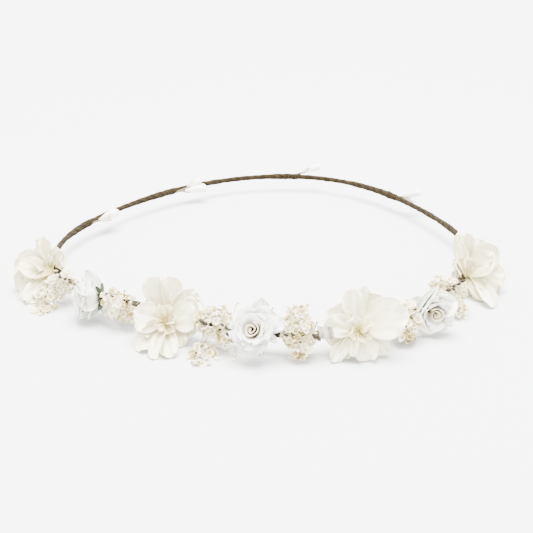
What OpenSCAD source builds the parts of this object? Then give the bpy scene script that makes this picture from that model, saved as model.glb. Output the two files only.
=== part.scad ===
// Flower crown
// A ring of tape-covered wire to wear round the head. Chiffon blossoms,
// paper roses and sprays of dried florets are bound along the front half,
// and four sprigs of teardrop buds along the bare back half.
//
// The origin is the middle of the head opening, in the plane of the ring.
// +Z is up, and the flowered front faces -Y.
// Angles round the ring run anticlockwise from +X, so 270 is the front.

/* [Ring] */
// Mean radius of the ring at the middle of the wire
ring_radius = 90; // [70:1:105]
// Diameter of the bare steel wire
wire_d = 1; // [0.8:0.1:2]
// Diameter over the wound paper tape
tape_d = 2.2; // [1.6:0.1:4]
// Height of the middle of the wire above the table
ring_height = 8; // [4:0.5:20]

/* [Tape bindings] */
// Diameter over a binding that holds a flower's stem
binding_d = 3.4; // [2.6:0.1:6]
// Length of a binding along the ring
binding_length = 7; // [4:1:15]

/* [Bud sprigs] */
// Length of the largest bud
bud_length = 11.5; // [6:0.5:18]
// Diameter of the largest bud
bud_d = 4.4; // [2:0.1:7]
// Diameter of a sprig's stem
sprig_stem_d = 0.8; // [0.4:0.1:1.5]
// Gap between a sprig's stem and the ring's tape
sprig_gap = 0.4; // [0.3:0.1:1]

/* [Chiffon blossoms] */
// Thickness of a petal layer
petal_t = 0.5; // [0.2:0.1:1]
// Petals in the outer layer
outer_petal_count = 5; // [4:1:7]
// Petals in the middle layer
middle_petal_count = 5; // [3:1:6]
// Petals in the inner layer
inner_petal_count = 4; // [3:1:5]
// Diameter of a flower's wire stem
stem_d = 0.9; // [0.6:0.1:1.6]

/* [Paper roses] */
// Radius over the outer petals
rose_radius = 10.5; // [7:0.5:16]
// Thickness of the paper
paper_t = 0.5; // [0.3:0.1:1]
// Turns in the rolled heart
heart_turns = 2.6; // [1.5:0.1:4]
// Petals in a rose's outer cup
rose_petal_count = 5; // [4:1:7]

/* [Dried sprays] */
// Florets in one spray
floret_count = 18; // [8:1:26]
// Diameter of one floret
floret_d = 2.6; // [1.6:0.1:4]
// Diameter of a floret's stem
floret_stem_d = 0.4; // [0.3:0.1:0.8]

/* [Hidden] */
// Out-of-round of the ring: wave number, cosine share, sine share.
ring_waves = [[2, 0.021, 0.002], [3, -0.036, -0.023], [4, 0.026, 0.009], [5, 0.007, -0.013]];
// Rings and sides of the swept wire and tape.
ring_steps = 96;
sweep_sides = 10;

wire_r = wire_d / 2;
tape_r = tape_d / 2;
binding_r = binding_d / 2;
table_z = -ring_height;

// Blossoms: ring angle, distance out, height, tilt above level, radius,
// sideways turn.
blossoms = [[196.5, 3.5, -0.5, 25, 15, 10], [244, 5, 2, 30, 16.5, 0], [289.5, 5, 2.5, 30, 17, 0], [341.5, 3, 0, 24, 16.5, -18]];
// Spin of each blossom's outer, middle and inner layer round its stem.
blossom_spins = [[0, 20, 8], [0, 52, 22], [0, 22, 72], [0, 54, 86]];
// Roses: ring angle, distance out, height, tilt, sideways turn, spin.
roses = [[219, 5, 1.6, 5, -35, 20], [267.5, 6.5, 4.5, 35, 0, 0], [313.5, 7, 1.1, 5, -30, 40]];
// Sprays: ring angle, distance out, height, half length along the ring, reach.
sprays = [[207.5, 4.5, -1.5, 6.5, 8.5], [229, 2.5, 0, 6.5, 9], [257, 3.5, -0.5, 6.5, 10], [278.5, 2, 1.5, 6, 9.5], [302.3, 2.5, 0, 5.5, 8.5], [326, 2, 0.5, 7, 9.5]];
// Bud sprigs: ring angle of the root, its distance out and height.
sprigs = [[161, -1.9, -0.2], [123, -1.9, -0.3], [79.5, 0.2, 2], [42, 1.9, 0.5]];
// Buds of each sprig: rise, turn inward, length of stem, share of full size.
sprig_heads = [
    [[6, 13, 1.2, 1]],
    [[-1, 14, 1.2, 1.06], [19, 5, 4, 0.7]],
    [[22, -6, 1.2, 0.8]],
    [[26, -22, 1.2, 0.78], [1, -13, 1.6, 0.5]]];

// --- the ring's own curve ---

// Distance of the wire from the middle of the ring at angle a.
function ring_r(a) = ring_radius * (1 + sum([for (w = ring_waves) w[1] * cos(w[0] * a) + w[2] * sin(w[0] * a)]));
function sum(v, i = 0) = i < len(v) ? v[i] + sum(v, i + 1) : 0;
// Point on the wire at angle a.
function ring_p(a) = [ring_r(a) * cos(a), ring_r(a) * sin(a), 0];
// Heading of the outward normal of the wire at angle a.
function ring_heading(a) = let (d = ring_p(a + 0.5) - ring_p(a - 0.5)) atan2(d[1], d[0]) - 90;
function unit(v) = v / norm(v);
// Outward direction at angle a.
function outward(a) = [cos(ring_heading(a)), sin(ring_heading(a)), 0];
// Direction along the ring, anticlockwise, at angle a.
function along(a) = [-sin(ring_heading(a)), cos(ring_heading(a)), 0];
// Point from its distance out, along and up from the wire at angle a.
function off_ring(a, out, side, up) = ring_p(a) + out * outward(a) + side * along(a) + [0, 0, up];

// A round section of radius r swept along the ring.
module ring_sweep(r) {
    pts = [for (i = [0 : ring_steps - 1]) let (a = 360 * i / ring_steps)
        for (j = [0 : sweep_sides - 1]) let (b = 360 * j / sweep_sides)
            ring_p(a) + r * cos(b) * outward(a) + [0, 0, r * sin(b)]];
    faces = [for (i = [0 : ring_steps - 1]) for (j = [0 : sweep_sides - 1])
        let (i2 = (i + 1) % ring_steps, j2 = (j + 1) % sweep_sides)
            [i * sweep_sides + j2, i2 * sweep_sides + j2, i2 * sweep_sides + j, i * sweep_sides + j]];
    polyhedron(points = pts, faces = faces, convexity = 6);
}

// A straight round rod from point p to point q.
module rod(p, q, d) {
    v = q - p;
    translate(p)
        rotate([0, acos(v[2] / norm(v)), atan2(v[1], v[0])])
            cylinder(h = norm(v), d = d, $fn = 24);
}

// Puts a flower's own axes (+Z is the way it faces) at a place on the ring.
module facing(a, out, up, tilt, turn = 0, spin = 0) {
    translate(off_ring(a, out, 0, up))
        rotate([0, 0, ring_heading(a) + turn])
            rotate([0, 90 - tilt, 0])
                rotate([0, 0, spin])
                    children();
}

// --- ring, tape and bindings ---

module hoop_wire() {
    color([0.55, 0.55, 0.55]) ring_sweep(wire_r);
}

module hoop_tape() {
    color([0.46, 0.38, 0.255]) difference() {
        ring_sweep(tape_r);
        ring_sweep(wire_r);
    }
}

// A sleeve of tape round the ring at angle a.
module binding(a, length, d) {
    translate(ring_p(a))
        rotate([0, 0, ring_heading(a)])
            rotate([90, 0, 0]) difference() {
                cylinder(h = length, d = d, center = true, $fn = 32);
                cylinder(h = length + 1, r = tape_r, center = true, $fn = 32);
            }
}

module flower_bindings() {
    color([0.42, 0.35, 0.23]) {
        for (b = blossoms) binding(b[0], binding_length, binding_d);
        for (r = roses) binding(r[0], binding_length, binding_d);
        for (s = sprays) binding(s[0], binding_length, binding_d);
    }
}

module sprig_bindings() {
    color([0.42, 0.35, 0.23])
        for (s = sprigs) binding(s[0] + 3.4, 6, 2.9);
}

// --- bud sprigs ---

// Half outline of a bud, from its narrow root to its blunt end.
function bud_outline(length, d, n = 16) = [for (i = [0 : n])
    let (t = i / n) [d / 2 * pow(t, 0.8) * sqrt(1 - pow(t, 5)) * 1.12 + (i == n ? 0 : 0.25), length * t]];

module bud(length, d) {
    rotate_extrude($fn = 36)
        polygon(concat([[0, 0]], bud_outline(length, d), [[0, length]]));
}

// Head h of sprig k: +Z runs along its stem from the root, the point
// where the stem leaves the binding.
module on_sprig(k, h) {
    s = sprigs[k];
    translate(off_ring(s[0], s[1], 0, s[2]))
        rotate([0, 0, ring_heading(s[0]) - 90 - h[1]])
            rotate([0, 90 - h[0], 0])
                children();
}

module sprig_stem(k) {
    color([0.62, 0.55, 0.38]) {
        on_sprig(k, sprig_heads[k][0]) sphere(d = sprig_stem_d * 1.15, $fn = 24);
        for (h = sprig_heads[k])
            on_sprig(k, h) cylinder(h = h[2], d = sprig_stem_d, $fn = 24);
    }
}

module sprig_buds(k) {
    color([0.96, 0.95, 0.92])
        for (h = sprig_heads[k])
            on_sprig(k, h) translate([0, 0, h[2]]) bud(bud_length * h[3], bud_d * h[3]);
}

// --- petals ---

// Outline of n round petals that reach radius r.
module petal_outline(r, n) {
    circle(r = r * 0.45, $fn = 48);
    for (i = [0 : n - 1])
        rotate([0, 0, 360 * i / n])
            translate([r * 0.56, 0])
                circle(r = r * (n > 4 ? 0.44 : 0.47), $fn = 48);
}

// A cupped layer of petals: part of a thin ball, cut to the outline.
module cup_layer(r, n, cup_r, t, hole_d) {
    difference() {
        intersection() {
            translate([0, 0, cup_r]) difference() {
                sphere(r = cup_r, $fn = 72);
                sphere(r = cup_r - t, $fn = 72);
            }
            translate([0, 0, -1]) linear_extrude(height = cup_r) petal_outline(r, n);
        }
        translate([0, 0, -2]) cylinder(h = 6, d = hole_d, $fn = 24);
    }
}

// --- chiffon blossoms ---

// Keeps the soft petals above the table that they rest on.
module above_table() {
    intersection() {
        children();
        translate([-150, -150, table_z]) cube([300, 300, 60]);
    }
}

module on_blossom(k, spin = 0) {
    b = blossoms[k];
    facing(b[0], b[1], b[2], b[3], b[5], spin) children();
}

module blossom_outer_petals(k) {
    r = blossoms[k][4];
    color([0.95, 0.93, 0.86]) above_table()
        on_blossom(k, blossom_spins[k][0]) cup_layer(r, outer_petal_count, r * 1.35, petal_t, stem_d);
}

module blossom_middle_petals(k) {
    r = blossoms[k][4];
    color([0.96, 0.94, 0.88])
        on_blossom(k, blossom_spins[k][1]) translate([0, 0, 1.2]) cup_layer(r * 0.78, middle_petal_count, r * 0.86, petal_t, stem_d);
}

module blossom_inner_petals(k) {
    r = blossoms[k][4];
    color([0.97, 0.95, 0.9])
        on_blossom(k, blossom_spins[k][2]) translate([0, 0, 2.4]) cup_layer(r * 0.5, inner_petal_count, r * 0.56, petal_t, stem_d);
}

// The stem runs from the knot in the middle back to the ring.
module blossom_stem(k) {
    b = blossoms[k];
    color([0.75, 0.72, 0.55]) {
        on_blossom(k) {
            translate([0, 0, -1.5]) cylinder(h = 5, d = stem_d, $fn = 24);
            translate([0, 0, 4.1]) sphere(d = 2, $fn = 24);
        }
        stem_to_ring(b[0], b[1], b[2], b[3], b[5], 1.5);
    }
}

// From a point behind a flower's base to the binding on the ring.
module stem_to_ring(a, out, up, tilt, turn, behind) {
    h = ring_heading(a) + turn;
    back = off_ring(a, out, 0, up) - behind * [cos(tilt) * cos(h), cos(tilt) * sin(h), sin(tilt)];
    v = back - ring_p(a);
    rod(ring_p(a) + unit(v) * (binding_r - 0.15), back, stem_d * 0.85);
    translate(back) sphere(d = stem_d * 1.4, $fn = 24);
}

// --- paper roses ---

module on_rose(k, spin = 0) {
    r = roses[k];
    facing(r[0], r[1], r[2], r[3], r[4], r[5] + spin) children();
}

module rose_outer_petals(k) {
    color([0.95, 0.96, 0.97])
        on_rose(k) cup_layer(rose_radius, rose_petal_count, rose_radius * 1.1, paper_t, stem_d);
}

module rose_inner_petals(k) {
    color([0.96, 0.97, 0.98])
        on_rose(k, 36) translate([0, 0, 1.1]) cup_layer(rose_radius * 0.72, 4, rose_radius * 0.76, paper_t, stem_d);
}

// Half the outline of the rolled strip: points along a spiral.
function spiral(r0, r1, turns, steps) = [for (i = [0 : steps])
    let (t = i / steps, r = r0 + (r1 - r0) * t) [r * cos(360 * turns * t), r * sin(360 * turns * t)]];

module rose_heart(k) {
    steps = 60;
    inner = spiral(0.5, rose_radius * 0.4, heart_turns, steps);
    outer = spiral(0.5 + paper_t, rose_radius * 0.4 + paper_t, heart_turns, steps);
    cup = rose_radius * 0.76;
    color([0.93, 0.91, 0.87]) on_rose(k) intersection() {
        translate([0, 0, 1.6]) linear_extrude(height = 6.4)
            polygon(concat(inner, [for (i = [steps : -1 : 0]) outer[i]]));
        translate([0, 0, 1.1 + cup]) sphere(r = cup - paper_t, $fn = 72);
    }
}

module rose_calyx(k) {
    color([0.42, 0.5, 0.38]) on_rose(k) {
        difference() {
            union() {
                translate([0, 0, -3.2]) cylinder(h = 2.6, d1 = 1.8, d2 = 4, $fn = 36);
                intersection() {
                    translate([0, 0, rose_radius * 1.1]) difference() {
                        sphere(r = rose_radius * 1.1 + 0.5, $fn = 72);
                        sphere(r = rose_radius * 1.1, $fn = 72);
                    }
                    translate([0, 0, -0.6]) linear_extrude(height = 4) for (i = [0 : 4])
                        rotate([0, 0, 72 * i]) polygon([[0, -1.3], [5.6, 0], [0, 1.3]]);
                }
            }
            translate([0, 0, -5]) cylinder(h = 8, d = stem_d, $fn = 24);
        }
    }
}

// A flat pointed leaf, its foot at the origin, along +X.
module leaf(length, width, t = 0.3) {
    r = (length * length / 4 + width * width / 4) / width;
    translate([length / 2, 0, 0]) linear_extrude(height = t) intersection() {
        translate([0, r - width / 2]) circle(r = r, $fn = 96);
        translate([0, -r + width / 2]) circle(r = r, $fn = 96);
    }
}

// Leaves: spin round the stem, tilt, length and width.
rose_leaves_at = [
    [[150, 24, 12, 6], [40, 60, 10, 6]],
    [[165, 46, 14, 6], [95, 18, 13, 6], [-60, 20, 11, 5]],
    [[160, 35, 14, 6], [70, 25, 10, 5.5]]];

module rose_leaves(k) {
    color([0.86, 0.89, 0.88])
        for (l = rose_leaves_at[k])
            on_rose(k, l[0]) translate([2.4, 0, -2.4]) rotate([0, -l[1] * 0.35, 0]) leaf(l[2], l[3]);
}

module rose_stem(k) {
    r = roses[k];
    color([0.35, 0.42, 0.3]) {
        on_rose(k) translate([0, 0, -3.8]) cylinder(h = 5.4, d = stem_d, $fn = 24);
        stem_to_ring(r[0], r[1], r[2], r[3], r[4], 3.8);
    }
}

// --- dried sprays ---

function frac(x) = x - floor(x);

// Middle of floret i of spray s, spread by the golden ratio.
function floret_p(s, i) =
    let (u = (i + 0.5) / floret_count,
         swing = -38 + 128 * frac(i * 0.618034 + 0.2),
         reach = s[4] * (0.62 + 0.38 * frac(i * 0.414214 + 0.35)))
    off_ring(s[0], s[1] + reach * cos(swing), s[3] * (2 * u - 1), s[2] + reach * sin(swing));

// Foot of its stem, just outside the tape.
function floret_foot(s, i) =
    let (u = (i + 0.5) / floret_count)
    off_ring(s[0], tape_r + 0.5, s[3] * 0.45 * (2 * u - 1), 0.2);

module spray_florets(k) {
    s = sprays[k];
    color([0.95, 0.92, 0.84])
        for (i = [0 : floret_count - 1])
            translate(floret_p(s, i)) sphere(d = floret_d * (0.85 + 0.3 * frac(i * 0.7321)), $fn = 24);
}

module spray_stems(k) {
    s = sprays[k];
    color([0.5, 0.42, 0.3])
        for (i = [0 : floret_count - 1])
            let (p = floret_foot(s, i), q = floret_p(s, i), v = unit(q - p))
                rod(p, q - v * (floret_d * (0.85 + 0.3 * frac(i * 0.7321)) / 2 - 0.1), floret_stem_d);
}

// --- gauze strip ---

// A folded end of ribbed gauze beside the third blossom.
module gauze_strip() {
    color([0.88, 0.88, 0.87])
        facing(282, 3, 2.5, 50, -10, 30)
            translate([0, -2.6, -0.6]) cube([9, 5.2, 0.5]);
}

hoop_wire();
hoop_tape();
flower_bindings();
sprig_bindings();
sprig_stem(0);  // sprig_1_stem
sprig_buds(0);  // sprig_1_bud
sprig_stem(1);  // sprig_2_stem
sprig_buds(1);  // sprig_2_buds
sprig_stem(2);  // sprig_3_stem
sprig_buds(2);  // sprig_3_bud
sprig_stem(3);  // sprig_4_stem
sprig_buds(3);  // sprig_4_buds
blossom_outer_petals(0);  // blossom_1_outer_petals
blossom_middle_petals(0);  // blossom_1_middle_petals
blossom_inner_petals(0);  // blossom_1_inner_petals
blossom_stem(0);  // blossom_1_stem
blossom_outer_petals(1);  // blossom_2_outer_petals
blossom_middle_petals(1);  // blossom_2_middle_petals
blossom_inner_petals(1);  // blossom_2_inner_petals
blossom_stem(1);  // blossom_2_stem
blossom_outer_petals(2);  // blossom_3_outer_petals
blossom_middle_petals(2);  // blossom_3_middle_petals
blossom_inner_petals(2);  // blossom_3_inner_petals
blossom_stem(2);  // blossom_3_stem
blossom_outer_petals(3);  // blossom_4_outer_petals
blossom_middle_petals(3);  // blossom_4_middle_petals
blossom_inner_petals(3);  // blossom_4_inner_petals
blossom_stem(3);  // blossom_4_stem
rose_heart(0);  // rose_1_heart
rose_inner_petals(0);  // rose_1_inner_petals
rose_outer_petals(0);  // rose_1_outer_petals
rose_calyx(0);  // rose_1_calyx
rose_leaves(0);  // rose_1_leaves
rose_stem(0);  // rose_1_stem
rose_heart(1);  // rose_2_heart
rose_inner_petals(1);  // rose_2_inner_petals
rose_outer_petals(1);  // rose_2_outer_petals
rose_calyx(1);  // rose_2_calyx
rose_leaves(1);  // rose_2_leaves
rose_stem(1);  // rose_2_stem
rose_heart(2);  // rose_3_heart
rose_inner_petals(2);  // rose_3_inner_petals
rose_outer_petals(2);  // rose_3_outer_petals
rose_calyx(2);  // rose_3_calyx
rose_leaves(2);  // rose_3_leaves
rose_stem(2);  // rose_3_stem
spray_florets(0);  // spray_1_florets
spray_stems(0);  // spray_1_stems
spray_florets(1);  // spray_2_florets
spray_stems(1);  // spray_2_stems
spray_florets(2);  // spray_3_florets
spray_stems(2);  // spray_3_stems
spray_florets(3);  // spray_4_florets
spray_stems(3);  // spray_4_stems
spray_florets(4);  // spray_5_florets
spray_stems(4);  // spray_5_stems
spray_florets(5);  // spray_6_florets
spray_stems(5);  // spray_6_stems
gauze_strip();
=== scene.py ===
import bpy, math
import numpy as np
from mathutils import Vector, Matrix


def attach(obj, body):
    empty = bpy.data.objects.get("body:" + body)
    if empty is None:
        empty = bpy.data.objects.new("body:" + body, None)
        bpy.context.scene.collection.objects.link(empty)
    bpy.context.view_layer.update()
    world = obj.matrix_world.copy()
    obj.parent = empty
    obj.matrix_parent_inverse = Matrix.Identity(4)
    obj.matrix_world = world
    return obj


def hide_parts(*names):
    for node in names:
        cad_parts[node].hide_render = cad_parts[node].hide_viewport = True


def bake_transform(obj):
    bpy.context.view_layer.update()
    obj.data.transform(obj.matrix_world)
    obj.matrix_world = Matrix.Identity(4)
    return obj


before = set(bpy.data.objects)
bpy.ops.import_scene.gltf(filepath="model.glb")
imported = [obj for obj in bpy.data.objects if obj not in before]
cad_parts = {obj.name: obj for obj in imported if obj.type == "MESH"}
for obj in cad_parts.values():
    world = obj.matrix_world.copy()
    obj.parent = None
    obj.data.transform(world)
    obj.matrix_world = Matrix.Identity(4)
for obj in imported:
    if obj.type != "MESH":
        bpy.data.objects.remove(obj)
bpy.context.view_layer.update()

MM = 0.001
TABLE = -8.0
rng = np.random.default_rng(7)

# ------------------------------------------------------------------ the ring's curve, in mm
WAVES = [(2, 0.021, 0.002), (3, -0.036, -0.023), (4, 0.026, 0.009), (5, 0.007, -0.013)]


def ring_p(a):
    a = np.radians(np.asarray(a, float))
    r = 90 * (1 + sum(c * np.cos(k * a) + s * np.sin(k * a) for k, c, s in WAVES))
    return np.stack([r * np.cos(a), r * np.sin(a), 0 * a], -1)


def heading(a):
    d = ring_p(a + 0.5) - ring_p(a - 0.5)
    return math.degrees(math.atan2(d[1], d[0])) - 90


def out_dir(a):
    h = math.radians(heading(a))
    return np.array([math.cos(h), math.sin(h), 0.0])


def along(a):
    h = math.radians(heading(a))
    return np.array([-math.sin(h), math.cos(h), 0.0])


def off(a, out, side, up):
    return ring_p(a) + out * out_dir(a) + side * along(a) + np.array([0, 0, up])


def unit(v):
    v = np.asarray(v, float)
    return v / max(np.linalg.norm(v), 1e-9)


# A tilted working frame for the flowers: right, up the slope, and out towards the front.
EL = math.radians(24.3)
RT = np.array([1.0, 0, 0])
UP = np.array([0, math.sin(EL), math.cos(EL)])
TW = np.array([0, -math.cos(EL), math.sin(EL)])


def loc(x, y, z):
    return x * RT + y * UP + z * TW


# ------------------------------------------------------------------ mesh helpers
def smooth_noise(n, seed, k=4):
    """A smooth closed-range random curve of n samples in -1..1."""
    r = np.random.default_rng(seed)
    t = np.linspace(0, 1, n)
    y = np.zeros(n)
    for i in range(1, k + 1):
        y += r.normal() / i * np.sin(2 * np.pi * i * t + r.uniform(0, 6.28))
    return y / max(1e-6, np.abs(y).max())


def make(name, verts, faces, mats, uv=None, attrs=None, face_mat=None, smooth=True):
    me = bpy.data.meshes.new(name)
    me.from_pydata((np.asarray(verts) * MM).tolist(), [], [tuple(int(i) for i in f) for f in faces])
    me.update()
    for m in mats:
        me.materials.append(m)
    if face_mat is not None:
        me.polygons.foreach_set("material_index", np.asarray(face_mat, np.int32))
    if smooth:
        me.polygons.foreach_set("use_smooth", np.ones(len(me.polygons), bool))
    if uv is not None:
        lay = me.uv_layers.new(name="Cloth")
        li = np.zeros(len(me.loops), np.int32)
        me.loops.foreach_get("vertex_index", li)
        lay.data.foreach_set("uv", np.asarray(uv, np.float32)[li].ravel())
    for k, v in (attrs or {}).items():
        a = me.attributes.new(k, "FLOAT", "POINT")
        a.data.foreach_set("value", np.asarray(v, np.float32))
    o = bpy.data.objects.new(name, me)
    bpy.context.scene.collection.objects.link(o)
    return o


class Bag:
    """Collects pieces of mesh that end up in one object."""

    def __init__(self):
        self.v, self.f, self.uv, self.m, self.n = [], [], [], [], 0
        self.at = {}

    def add(self, v, f, uv=None, mat=0, **attrs):
        v = np.asarray(v, float)
        self.v.append(v)
        self.f += [tuple(i + self.n for i in q) for q in f]
        self.m += [mat] * len(f)
        self.uv.append(np.zeros((len(v), 2)) if uv is None else np.asarray(uv, float))
        for k in set(self.at) | set(attrs):
            if k not in self.at:
                self.at[k] = [np.zeros(self.n)]
            a = attrs.get(k, 0.0)
            self.at[k].append(np.full(len(v), a, float) if np.isscalar(a) else np.asarray(a, float))
        self.n += len(v)

    def build(self, name, mats):
        return make(name, np.concatenate(self.v), self.f, mats, np.concatenate(self.uv),
                    {k: np.concatenate(a) for k, a in self.at.items()}, self.m)


def grid_faces(nr, nc, off0=0, flip=False, wrap=False):
    f = []
    for i in range(nr - 1):
        for j in range(nc if wrap else nc - 1):
            j2 = (j + 1) % nc
            q = (off0 + i * nc + j, off0 + i * nc + j2, off0 + (i + 1) * nc + j2, off0 + (i + 1) * nc + j)
            f.append(q[::-1] if flip else q)
    return f


def shell(P, t):
    """A closed thin skin round a grid of points P[rows, cols, 3]."""
    nr, nc = P.shape[:2]
    du = np.gradient(P, axis=1)
    dv = np.gradient(P, axis=0)
    n = np.cross(du, dv)
    ln = np.linalg.norm(n, axis=2, keepdims=True)
    n = n / np.maximum(ln, 1e-9)
    # at a pinched tip the row's own normals vanish: borrow the next row's
    for r in (0, nr - 1):
        if ln[r].max() < 1e-5:
            q = 1 if r == 0 else nr - 2
            n[r] = n[q].mean(0) / max(np.linalg.norm(n[q].mean(0)), 1e-9)
    T = t if np.isscalar(t) else t[..., None]
    A = (P + n * T / 2).reshape(-1, 3)
    B = (P - n * T / 2).reshape(-1, 3)
    N = nr * nc
    f = grid_faces(nr, nc) + grid_faces(nr, nc, N, True)
    ring = [j for j in range(nc)] + [i * nc + nc - 1 for i in range(1, nr)] + \
           [(nr - 1) * nc + j for j in range(nc - 2, -1, -1)] + [i * nc for i in range(nr - 2, 0, -1)]
    for a, b in zip(ring, ring[1:] + ring[:1]):
        f.append((b, a, a + N, b + N))
    return np.concatenate([A, B]), f


def petal(bag, base, tip, nrm, width, bend=40, cup=0.5, ruffle=0.5, waves=3.0, seed=0, vm=0.6, foot=0.3,
          twist=0, t=0.22, tip_curl=0, notch=0.0, mat=0, rows=26, cols=23, point=0.0, crease=0.0, shade=1.0, floor=True, warm=0.0, rib=0.0, back=0.0):
    """One petal from base to tip. nrm is the side it faces; bend is the arc towards that side in degrees;
    cup rolls its edges towards that side; ruffle is the wave of its rim in mm."""
    base, tip = np.asarray(base, float), np.asarray(tip, float)
    chord = tip - base
    c = np.linalg.norm(chord)
    D = chord / c
    N = unit(np.asarray(nrm, float) - np.dot(nrm, D) * D)
    if twist:
        a = math.radians(twist)
        S0 = np.cross(D, N)
        N = math.cos(a) * N + math.sin(a) * S0
    S = np.cross(D, N)
    b = math.radians(bend)
    r = np.random.default_rng(seed * 7919 + 13)
    # rows are close together at the rounded tip
    k1 = int(rows * 0.5)
    v = np.concatenate([np.linspace(0, vm, k1, endpoint=False), vm + (1 - vm) * np.sin(np.linspace(0, np.pi / 2, rows - k1))])
    h = np.where(v <= vm, foot + (1 - foot) * np.sin(np.pi / 2 * np.clip(v / vm, 0, 1)) ** 1.3,
                 np.clip(1 - ((v - vm) / (1 - vm)) ** 2.3, 0, 1) ** ((0.5 + 0.35 * point)))
    h[-1] = max(h[-1], 0.02)
    u = np.linspace(-1, 1, cols)
    # arc in the D-N plane that starts b/2 off the chord
    if abs(b) < 1e-3:
        X, Z = v * c, 0 * v
    else:
        R = c / (2 * math.sin(b / 2))
        th = v * b - b / 2
        X = R * (np.sin(th) + math.sin(b / 2))
        Z = R * (math.cos(b / 2) - np.cos(th))
    tang = v * b - b / 2
    if tip_curl:
        q = np.clip((v - 0.7) / 0.3, 0, 1) ** 1.6
        Z = Z + q * tip_curl
    side = width / 2 * h[:, None] * u[None]
    # rim waves, stronger towards the tip and edges
    edge = np.abs(u)[None] ** 1.5 * np.clip(v, 0, 1)[:, None] + np.clip((v - 0.55) / 0.45, 0, 1)[:, None] ** 2 * 0.8
    ph = r.uniform(0, 6.28, 3)
    ang = np.arctan2(u[None] * h[:, None], (v[:, None] - 0.35) * 1.4)
    wave = np.sin(waves * ang + ph[0]) + 0.5 * np.sin(waves * 1.9 * ang + ph[1]) + 0.35 * np.sin(3.1 * v[:, None] * 2 + 4 * u[None] + ph[2])
    lift = ruffle * wave * edge
    curve = cup * width / 2 * (h[:, None] * np.abs(u[None])) ** 2.0
    folds = crease * np.cos(u[None] * 9 + 2.0 * r.normal() + 1.5 * np.sin(3 * v[:, None])) * np.sin(np.pi * np.clip(v * 0.9 + 0.08, 0, 1))[:, None] ** 0.8 * (1 - 0.5 * v[:, None])
    fine = 0.09 * np.sin(6 * u[None] * (1 + v[:, None]) + ph[1] + 2 * v[:, None]) * v[:, None] * r.uniform(0.6, 1.3)
    # crinkles: short soft dents, at no fixed direction
    for _ in range(7):
        cu, cv, cw = r.uniform(-0.8, 0.8), r.uniform(0.25, 1.0), r.uniform(0.12, 0.3)
        ca = r.uniform(0, 3.14)
        du_, dv_ = u[None] - cu, (v[:, None] - cv)
        e1, e2 = du_ * math.cos(ca) + dv_ * math.sin(ca), -du_ * math.sin(ca) + dv_ * math.cos(ca)
        fine = fine + ruffle * r.uniform(-0.5, 0.5) * np.exp(-(e1 / (cw * 2)) ** 2 - (e2 / (cw * 0.7)) ** 2)
    lift = lift + curve + folds + fine
    Xg = X[:, None] + 0 * side
    if notch:
        Xg = Xg - notch * np.exp(-(u[None] / 0.25) ** 2) * np.clip((v[:, None] - 0.75) / 0.25, 0, 1) ** 2
    nloc = np.stack([-np.sin(tang), np.cos(tang)], 1)
    P = base + (Xg + lift * nloc[:, :1])[..., None] * D + (Z[:, None] + lift * nloc[:, 1:])[..., None] * N + side[..., None] * S
    if floor:
        low = P[..., 2]
        lim = TABLE + 0.16 + 0.12 * (seed % 4)
        P[..., 2] = np.where(low < lim + 0.6, lim + 0.6 * np.exp(np.clip((low - lim - 0.6) / 0.6, -8, 0)), low)
    V, F = shell(P, t)
    uv = np.stack([side, np.repeat((v * c)[:, None], cols, 1)], -1).reshape(-1, 2)
    vv = np.repeat(v[:, None], cols, 1).ravel()
    ee = np.maximum(np.abs(u)[None] ** 6 * np.clip(v * 3, 0, 1)[:, None], np.clip((v - 0.93) / 0.07, 0, 1)[:, None] ** 2).ravel()
    bag.add(V, F, np.concatenate([uv, uv + 0.13]) * 0.1, mat, vv=np.concatenate([vv, vv]), ee=np.concatenate([ee, ee]),
            tone=shade, warm=warm, fold=fold_of(folds, crease, u, v, rib, back))
    return P


def fold_of(folds, crease, u, v, rib, back):
    f = np.clip(-folds / max(crease, 1e-6), 0, 1) if crease else 0 * folds
    if rib:
        f = f * 0 + rib * np.exp(-(np.abs(u)[None] / 0.3) ** 1.6) * np.clip(1.15 - v, 0.15, 1)[:, None]
    f = (f + 0 * v[:, None]).ravel()
    return np.concatenate([f, np.clip(f + back, 0, 1)])


def tube(path, radius, sides=10, cap=True, radii=None, squash=None):
    """A round sweep along path (n, 3). radius is a number or one per point."""
    P = np.asarray(path, float)
    n = len(P)
    T = np.gradient(P, axis=0)
    T /= np.linalg.norm(T, axis=1, keepdims=True)
    ref = np.array([0, 0, 1.0]) if abs(T[0][2]) < 0.9 else np.array([1.0, 0, 0])
    A = [unit(np.cross(ref, T[0]))]
    for i in range(1, n):
        a = A[-1] - np.dot(A[-1], T[i]) * T[i]
        A.append(unit(a))
    A = np.array(A)
    B = np.cross(T, A)
    R = np.full(n, radius, float) if np.isscalar(radius) else np.asarray(radius, float)
    th = np.linspace(0, 2 * np.pi, sides, endpoint=False)
    rr = R[:, None] * (1 if radii is None else radii)
    V = P[:, None] + rr[..., None] * (np.cos(th)[None, :, None] * A[:, None] + np.sin(th)[None, :, None] * B[:, None])
    V = V.reshape(-1, 3)
    F = grid_faces(n, sides, 0, False, True)
    if cap:
        V = np.concatenate([V, P[:1], P[-1:]])
        a, b = n * sides, n * sides + 1
        F += [(j, a, (j + 1) % sides) for j in range(sides)]
        F += [((n - 1) * sides + j, (n - 1) * sides + (j + 1) % sides, b) for j in range(sides)]
    s = np.concatenate([[0], np.cumsum(np.linalg.norm(np.diff(P, axis=0), axis=1))])
    uv = np.stack([np.repeat(s[:, None], sides, 1), np.repeat((th * R.mean())[None], n, 0)], -1).reshape(-1, 2)
    if cap:
        uv = np.concatenate([uv, [[0, 0], [s[-1], 0]]])
    return V, F, uv * 0.1


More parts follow.
